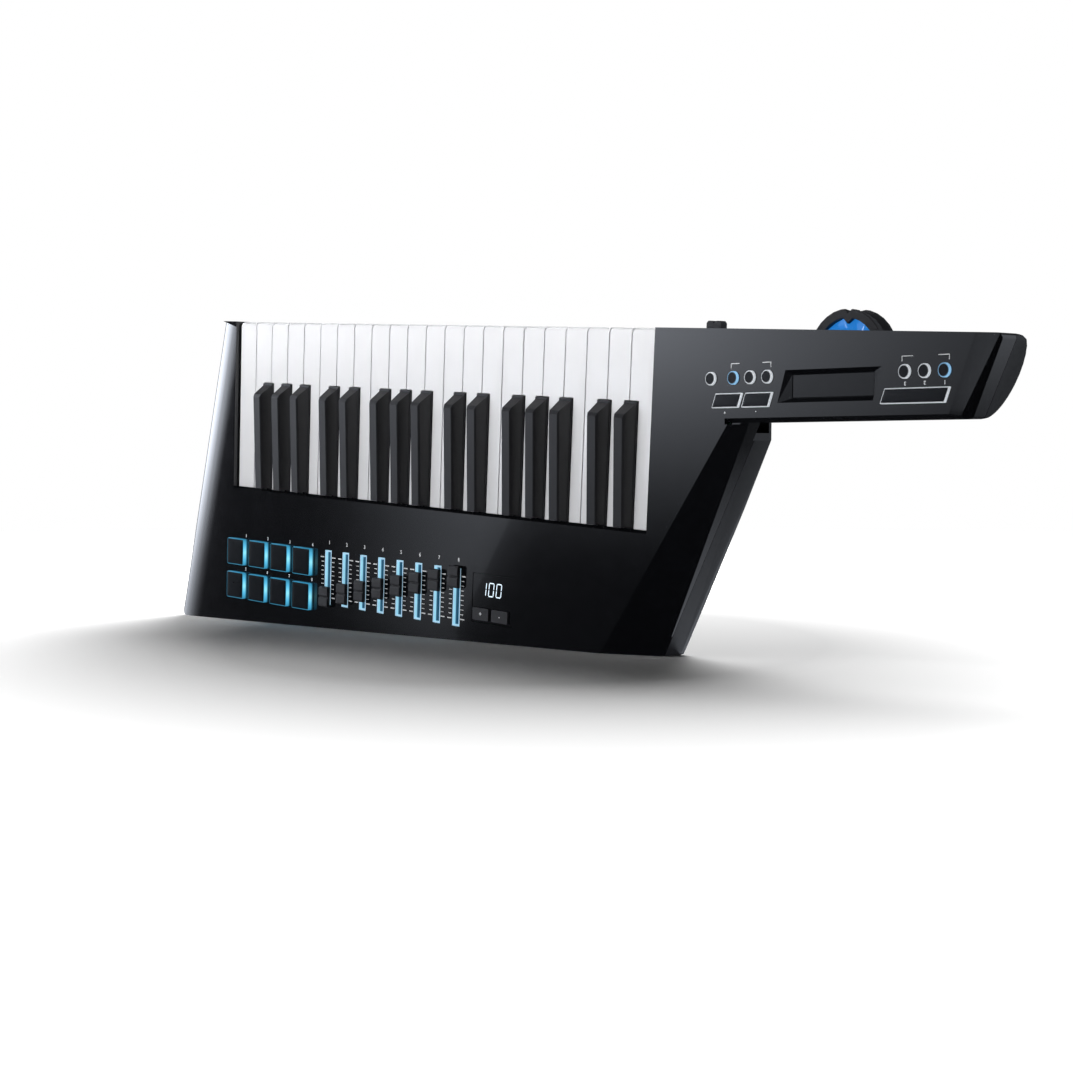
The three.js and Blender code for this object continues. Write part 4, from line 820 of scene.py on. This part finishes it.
def slanted(left, width, low=178.7, high=188.7, slope=0.38, radius=0.8):
    """A parallelogram that leans right going up, with round corners, which its inset makes smaller."""
    def outline(inset):
        base = low + inset
        top = high - inset
        middle = (low + high) / 2
        side = inset * math.hypot(1, slope)
        start = left + side
        end = left + width - side
        places = ((start, base), (end, base), (end, top), (start, top))
        corners = [Vector((x + slope * (z - middle), z)) for x, z in places]
        size = max(radius - inset * CORNER_SHRINK, SLANT_CORNER)
        ring = []
        for index, here in enumerate(corners):
            one = (corners[index - 1] - here).normalized() * size
            two = (corners[(index + 1) % 4] - here).normalized() * size
            for share in (0, 0.25, 0.5, 0.75, 1):
                ring.append(tuple(here + one * (1 - share) ** 2 + two * share ** 2))
        return ring

    return outline


clear_white = glowing("clear_white", (0.55, 0.57, 0.6), (0.85, 0.9, 0.96), strength=0.55)
clear_rim = glowing("clear_rim", (0.5, 0.52, 0.55), (0.7, 0.75, 0.8), strength=0.16)
button_blue = glowing("button_blue", (0.2, 0.4, 0.55), (0.3, 0.58, 0.88), strength=0.75)
blue_rim = glowing("blue_rim", (0.1, 0.2, 0.3), (0.16, 0.34, 0.55), strength=0.5)
cap_black = shader("cap_black", (0.008, 0.009, 0.012), roughness=0.4, specular=0.3)
grained(cap_black, scale=3200, depth=0.4, low=0.35, high=0.5, mottle=0.2)
button_skins = [clear_white, clear_rim, cap_black, button_blue, blue_rim]
BLUE_SHIFT = 3
round_rings = [
    (0, -1.7, 0), (0, -6.0, 0), (0.2, -6.25, 1), (0.75, -6.3, 2), (0.9, -6.3, 2), (1.05, -6.1, 2),
    (1.4, -6.1, 2), (3.2, -6.15, 2),
]
bar_rings = [
    (0, -1.7, 0), (0, -5.8, 0), (0.2, -6.05, 1), (0.7, -6.1, 2), (0.85, -5.9, 2), (1.2, -6.0, 2),
    (2.4, -6.1, 2),
]
for body, places, lit in (("zone_buttons", ZONE_PLACES, 1), ("mode_buttons", MODE_PLACES, 2)):
    form = bmesh.new()
    for index, x in enumerate(places):
        shift = BLUE_SHIFT if index == lit else 0
        rings = [(inset, depth, part + shift if part < 2 else part) for inset, depth, part in round_rings]
        lofted(form, STAND, disc(x, ROUND_HEIGHT, ROUND_RADIUS), rings)
    placed(form, body + "_caps", button_skins, body, [body])
for body, places, width in (
    ("octave_buttons", OCTAVE_PLACES, OCTAVE_WIDTH),
    ("sustain_button", SUSTAIN_PLACES, SUSTAIN_WIDTH),
):
    form = bmesh.new()
    for x in places:
        lofted(form, STAND, slanted(x, width), bar_rings)
    placed(form, body + "_caps", button_skins, body, [body])


# Pitch wheel: a black rim of soft-touch plastic around a faceted clear blue core that is lit from inside. It
# turns on a pin of the rear cover and springs back to its middle.
WHEEL_MIDDLE = Vector((691.2, 11.25, -17.8))
CORE_SPOKES = 18
CORE_CROWN = 6.9
CORE_INNER = (14, 6.4, -1.6)
CORE_OUTER = (26.2, 4.2, 1.8)

refined("pitch_wheel", [soft_black], edge=0.35, steps=2, angle=20)
core_blue = glowing("core_blue", (0.02, 0.1, 0.3), (0.01, 0.16, 0.5), strength=0.9, roughness=0.12)
form = bmesh.new()
for side in (-1, 1):
    hub = form.verts.new(DECK @ (WHEEL_MIDDLE + Vector((0, side * CORE_CROWN, 0))))
    inner = []
    outer = []
    for index in range(CORE_SPOKES):
        turn = 2 * math.pi * index / CORE_SPOKES
        for ring, (radius, depth, wave) in ((inner, CORE_INNER), (outer, CORE_OUTER)):
            level = side * (depth + wave * (index % 2))
            spot = Vector((radius * math.cos(turn), level, radius * math.sin(turn)))
            ring.append(form.verts.new(DECK @ (WHEEL_MIDDLE + spot)))
    for index in range(CORE_SPOKES):
        after = (index + 1) % CORE_SPOKES
        form.faces.new((hub, inner[index], inner[after]))
        form.faces.new((inner[index], outer[index], outer[after]))
        form.faces.new((inner[index], outer[after], inner[after]))
    if side == -1:
        first = outer
for index in range(CORE_SPOKES):
    after = (index + 1) % CORE_SPOKES
    form.faces.new((first[index], first[after], outer[after], outer[index]))
placed(form, "wheel_core", [core_blue], "pitch_wheel", angle=5)


# Neck slider: a dished cap of soft-touch plastic in the neck's top edge. It is pushed onto the stem of a
# small slide pot on the board.
refined("neck_fader_cap", [soft_black], edge=0.4, steps=2, angle=28)


# The studio floor: a pale round sheet of paper. It keeps the part's real shadow. A painted glow, seen only
# by the camera, whitens it over an oval around the part and so sets where the shadow fades out.
FLOOR_RADIUS = 3.0
FLOOR_SIDES = 96
FLOOR_PAPER = (0.9, 0.9, 0.9, 1)
FLOOR_SINK = 0.0004
VIEW_TURN = math.radians(47.793)
SHADE_MIDDLE = (-0.037, 0.034, 0)
SHADE_STRETCH = 1.5
SHADE_START = 0.24
SHADE_END = 0.58


def bare(block):
    """The empty tree of a material or of a world."""
    block.use_nodes = True
    block.node_tree.nodes.clear()
    return block.node_tree


floor_mesh = bpy.data.meshes.new("floor")
form = bmesh.new()
bmesh.ops.create_circle(form, cap_ends=True, segments=FLOOR_SIDES, radius=FLOOR_RADIUS)
form.to_mesh(floor_mesh)
form.free()
floor = bpy.data.objects.new("floor", floor_mesh)
bpy.context.scene.collection.objects.link(floor)
floor.location = (0, 0, -FLOOR_SINK)
floor.visible_glossy = False
floor_paint = bpy.data.materials.new("floor_paint")
tree = bare(floor_paint)
out = node(tree, "ShaderNodeOutputMaterial")
matte = node(tree, "ShaderNodeBsdfDiffuse", Color=FLOOR_PAPER)
glow = node(tree, "ShaderNodeEmission")
path = node(tree, "ShaderNodeLightPath")
place = node(tree, "ShaderNodeTexCoord")
oval = node(tree, "ShaderNodeMapping", vector_type="TEXTURE")
oval.inputs["Location"].default_value = SHADE_MIDDLE
oval.inputs["Rotation"].default_value = (0, 0, VIEW_TURN)
oval.inputs["Scale"].default_value = (1, SHADE_STRETCH, 1)
reach = node(tree, "ShaderNodeVectorMath", operation="LENGTH")
link(tree, place, "Object", oval, "Vector")
link(tree, oval, "Vector", reach, 0)
# Painted light: nil near the part, rising to white at the oval's edge, so the real shadow fades out there.
painted_floor_glow = eased(tree, reach, "Value", start=SHADE_START, end=SHADE_END, low=0, high=1, curve="LINEAR")
seen = node(tree, "ShaderNodeMath", operation="MULTIPLY")
both = node(tree, "ShaderNodeAddShader")
link(tree, painted_floor_glow, "Result", seen, 0)
link(tree, path, "Is Camera Ray", seen, 1)
link(tree, seen, "Value", glow, "Strength")
link(tree, matte, "BSDF", both, 0)
link(tree, glow, "Emission", both, 1)
link(tree, both, "Shader", out, "Surface")
floor_mesh.materials.append(floor_paint)


# The studio room: white to the camera. Gloss mirrors a room that is lighter behind, dark overhead, and has
# a black flag behind the part at the left, which draws the thin dark outlines. Its other light is dim.
SHEEN_TINT = (0.85, 0.9, 1, 1)
FLAG_TOWARD = (-0.73, 0.675, -0.1)
OTHER_LIGHT = 0.015

world = bpy.data.worlds.new("studio")
bpy.context.scene.world = world
tree = bare(world)
out = node(tree, "ShaderNodeOutputWorld")
room = node(tree, "ShaderNodeBackground", Color=SHEEN_TINT)
white = node(tree, "ShaderNodeBackground", Color=(1, 1, 1, 1))
dim = node(tree, "ShaderNodeBackground", Strength=OTHER_LIGHT)
kind = node(tree, "ShaderNodeMixShader")
mix = node(tree, "ShaderNodeMixShader")
path = node(tree, "ShaderNodeLightPath")
place = node(tree, "ShaderNodeTexCoord")
split = node(tree, "ShaderNodeSeparateXYZ")
toward = node(tree, "ShaderNodeVectorMath", operation="DOT_PRODUCT")
toward.inputs[1].default_value = FLAG_TOWARD
link(tree, place, "Generated", split, "Vector")
link(tree, place, "Generated", toward, 0)
behind = eased(tree, split, "Y", start=-0.5, end=0.35, low=0.03, high=1)
above = eased(tree, split, "Z", start=-0.65, end=-0.1, low=0.03, high=1)
ceiling = eased(tree, split, "Z", start=0.3, end=0.6, low=1, high=0.08)
flag = eased(tree, toward, "Value", start=0.76, end=0.88, low=1, high=0.05)
level = times(tree, times(tree, behind, above), times(tree, ceiling, flag))
link(tree, level, "Value", room, "Strength")
link(tree, path, "Is Glossy Ray", kind, "Fac")
link(tree, dim, "Background", kind, 1)
link(tree, room, "Background", kind, 2)
link(tree, path, "Is Camera Ray", mix, "Fac")
link(tree, kind, "Shader", mix, 1)
link(tree, white, "Background", mix, 2)
link(tree, mix, "Shader", out, "Surface")


# Painted reflections: glowing cards that only gloss mirrors and that light nothing. They draw the grey
# sheens on the cheek, on the deck with its slanted edge, at the neck's root and end, and on the toe's wall.
ROOT_WIDE = 0.85
ROOT_HIGH = 0.28
ROOT_MIDDLE = (-0.4456, 0.2904)
END_SLOPE = 0.39


def card(name, corners, build):
    """One sheet, whose brightness build() gives."""
    mesh = bpy.data.meshes.new(name)
    mesh.from_pydata(corners, [], [tuple(range(len(corners)))])
    sheet = bpy.data.objects.new(name, mesh)
    bpy.context.scene.collection.objects.link(sheet)
    sheet.visible_camera = False
    sheet.visible_diffuse = False
    sheet.visible_shadow = False
    sheet.visible_transmission = False
    paint = bpy.data.materials.new(name)
    tree = bare(paint)
    out = node(tree, "ShaderNodeOutputMaterial")
    glow = node(tree, "ShaderNodeEmission", Color=SHEEN_TINT)
    clear = node(tree, "ShaderNodeBsdfTransparent")
    both = node(tree, "ShaderNodeAddShader")
    place = node(tree, "ShaderNodeTexCoord")
    split = node(tree, "ShaderNodeSeparateXYZ")
    link(tree, place, "Object", split, "Vector")
    tree.links.new(build(tree, place, split).outputs[0], glow.inputs["Strength"])
    link(tree, glow, "Emission", both, 0)
    link(tree, clear, "BSDF", both, 1)
    link(tree, both, "Shader", out, "Surface")
    mesh.materials.append(paint)


def root_box(tree, place, split):
    """Brightest at its middle, and fading to its rim."""
    fit = node(tree, "ShaderNodeMapping")
    fit.inputs["Location"].default_value = (-ROOT_MIDDLE[0] / ROOT_WIDE, 0, -ROOT_MIDDLE[1] / ROOT_HIGH)
    fit.inputs["Scale"].default_value = (1 / ROOT_WIDE, 0, 1 / ROOT_HIGH)
    fall = node(tree, "ShaderNodeTexGradient", gradient_type="QUADRATIC_SPHERE")
    link(tree, place, "Object", fit, "Vector")
    link(tree, fit, "Vector", fall, "Vector")
    return eased(tree, fall, "Fac", start=0, end=1, low=0, high=2.7, curve="LINEAR")


def deck_box(tree, place, split):
    """Grows from the left to its slanted right edge."""
    grow = eased(tree, split, "X", start=-1.1, end=-0.58, low=0, high=0.82, curve="SMOOTHERSTEP")
    rise = eased(tree, split, "Z", start=-0.14, end=0.02, low=0.3, high=1, curve="LINEAR")
    return times(tree, grow, rise)


def cheek_box(tree, place, split):
    """Strongest at its middle, weaker low down and towards both sides."""
    near = eased(tree, split, "Y", start=-0.8, end=-0.3, low=0, high=5)
    far = eased(tree, split, "Y", start=-0.1, end=0.3, low=1, high=0)
    rise = eased(tree, split, "Z", start=-0.05, end=0.32, low=0.3, high=1.2)
    return times(tree, times(tree, near, far), rise)


def end_box(tree, place, split):
    """A narrow slanted strip, brightest at its right edge."""
    slant = node(tree, "ShaderNodeMath", operation="MULTIPLY_ADD")
    slant.inputs[1].default_value = -END_SLOPE
    link(tree, split, "Z", slant, 0)
    link(tree, split, "X", slant, 2)
    return eased(tree, slant, "Value", start=0.0874, end=0.1194, low=0.05, high=1.1, curve="LINEAR")


def toe_box(tree, place, split):
    """A painted reflection of bright floor beside the toe, strongest next to it."""
    return eased(tree, split, "X", start=0.17, end=0.34, low=1, high=0, curve="LINEAR")


cheek_corners = [(-1.6, -0.95, -0.3), (-1.6, 0.9, -0.3), (-1.6, 0.9, 0.8), (-1.6, -0.95, 0.8)]
root_corners = [(-1.2, -0.6, -0.1), (0.4, -0.6, -0.1), (0.4, -0.6, 0.6), (-1.2, -0.6, 0.6)]
deck_corners = [(-1.9, -0.61, -0.2), (-0.86, -0.61, -0.2), (-0.5, -0.61, 0.3), (-1.9, -0.61, 0.3)]
end_corners = [(0.139, -0.605, 0.14), (0.179, -0.605, 0.14), (0.21, -0.605, 0.22), (0.17, -0.605, 0.22)]
toe_corners = [(0.12, 0.015, 0.001), (0.36, 0.015, 0.001), (0.36, 0.3, 0.001), (0.12, 0.3, 0.001)]
card("cheek_sheen", cheek_corners, cheek_box)
card("root_sheen", root_corners, root_box)
card("deck_sheen", deck_corners, deck_box)
card("end_sheen", end_corners, end_box)
card("toe_sheen", toe_corners, toe_box)


# Lamps: a broad one overhead at the back throws the soft shadow forwards, with a weak one above it. A low
# one at the front left and a thin strip above the key fronts light the keys.
def lamp(name, place, target, width, height, power, spread=180):
    """A flat lamp at a place, in metres and watts, that looks at its target."""
    light = bpy.data.lights.new(name, "AREA")
    light.shape = "RECTANGLE"
    light.size = width
    light.size_y = height
    light.energy = power
    light.spread = math.radians(spread)
    holder = bpy.data.objects.new(name, light)
    bpy.context.scene.collection.objects.link(holder)
    holder.location = place
    holder.rotation_euler = (Vector(target) - Vector(place)).to_track_quat("-Z", "Y").to_euler()
    holder.visible_camera = False
    holder.visible_glossy = False


lamp("back_lamp", (-0.8, 1.2, 1.35), target=(0, 0, 0.1), width=1.2, height=1.2, power=44)
lamp("top_lamp", (0, 0.45, 1.7), target=(0, 0, 0), width=1.6, height=0.8, power=1.5)
lamp("key_lamp", (-0.3, -2.3, 0.13), target=(-0.1, 0, 0.2), width=1.4, height=0.12, power=25)
lamp(
    "strip_lamp", (-0.1, -0.16, 0.35), target=(-0.1, 0, 0.245),
    width=0.8, height=0.03, power=0.26, spread=90)


# The camera stands where the photograph's did, solved from the key edges, the foot and the neck. It is level
# from side to side and looks a little down, and its frame is shifted up.
CAMERA_PLACE = (1644.63, -1138.57, 141.77)
CAMERA_TILT = math.radians(90 - 6.318)
FRAME = 1073
FOCAL = 2207.75
VIEW_MIDDLE = 705.99
FILM = 36

camera = bpy.data.objects.new("camera", bpy.data.cameras.new("camera"))
bpy.context.scene.collection.objects.link(camera)
camera.location = STAND @ Vector(CAMERA_PLACE)
camera.rotation_euler = (CAMERA_TILT, 0, VIEW_TURN)
camera.data.sensor_width = FILM
camera.data.lens = FILM * FOCAL / FRAME
camera.data.shift_y = (VIEW_MIDDLE - FRAME / 2) / FRAME
camera.data.clip_end = 100
bpy.context.scene.camera = camera
bpy.context.scene.view_settings.view_transform = "Standard"
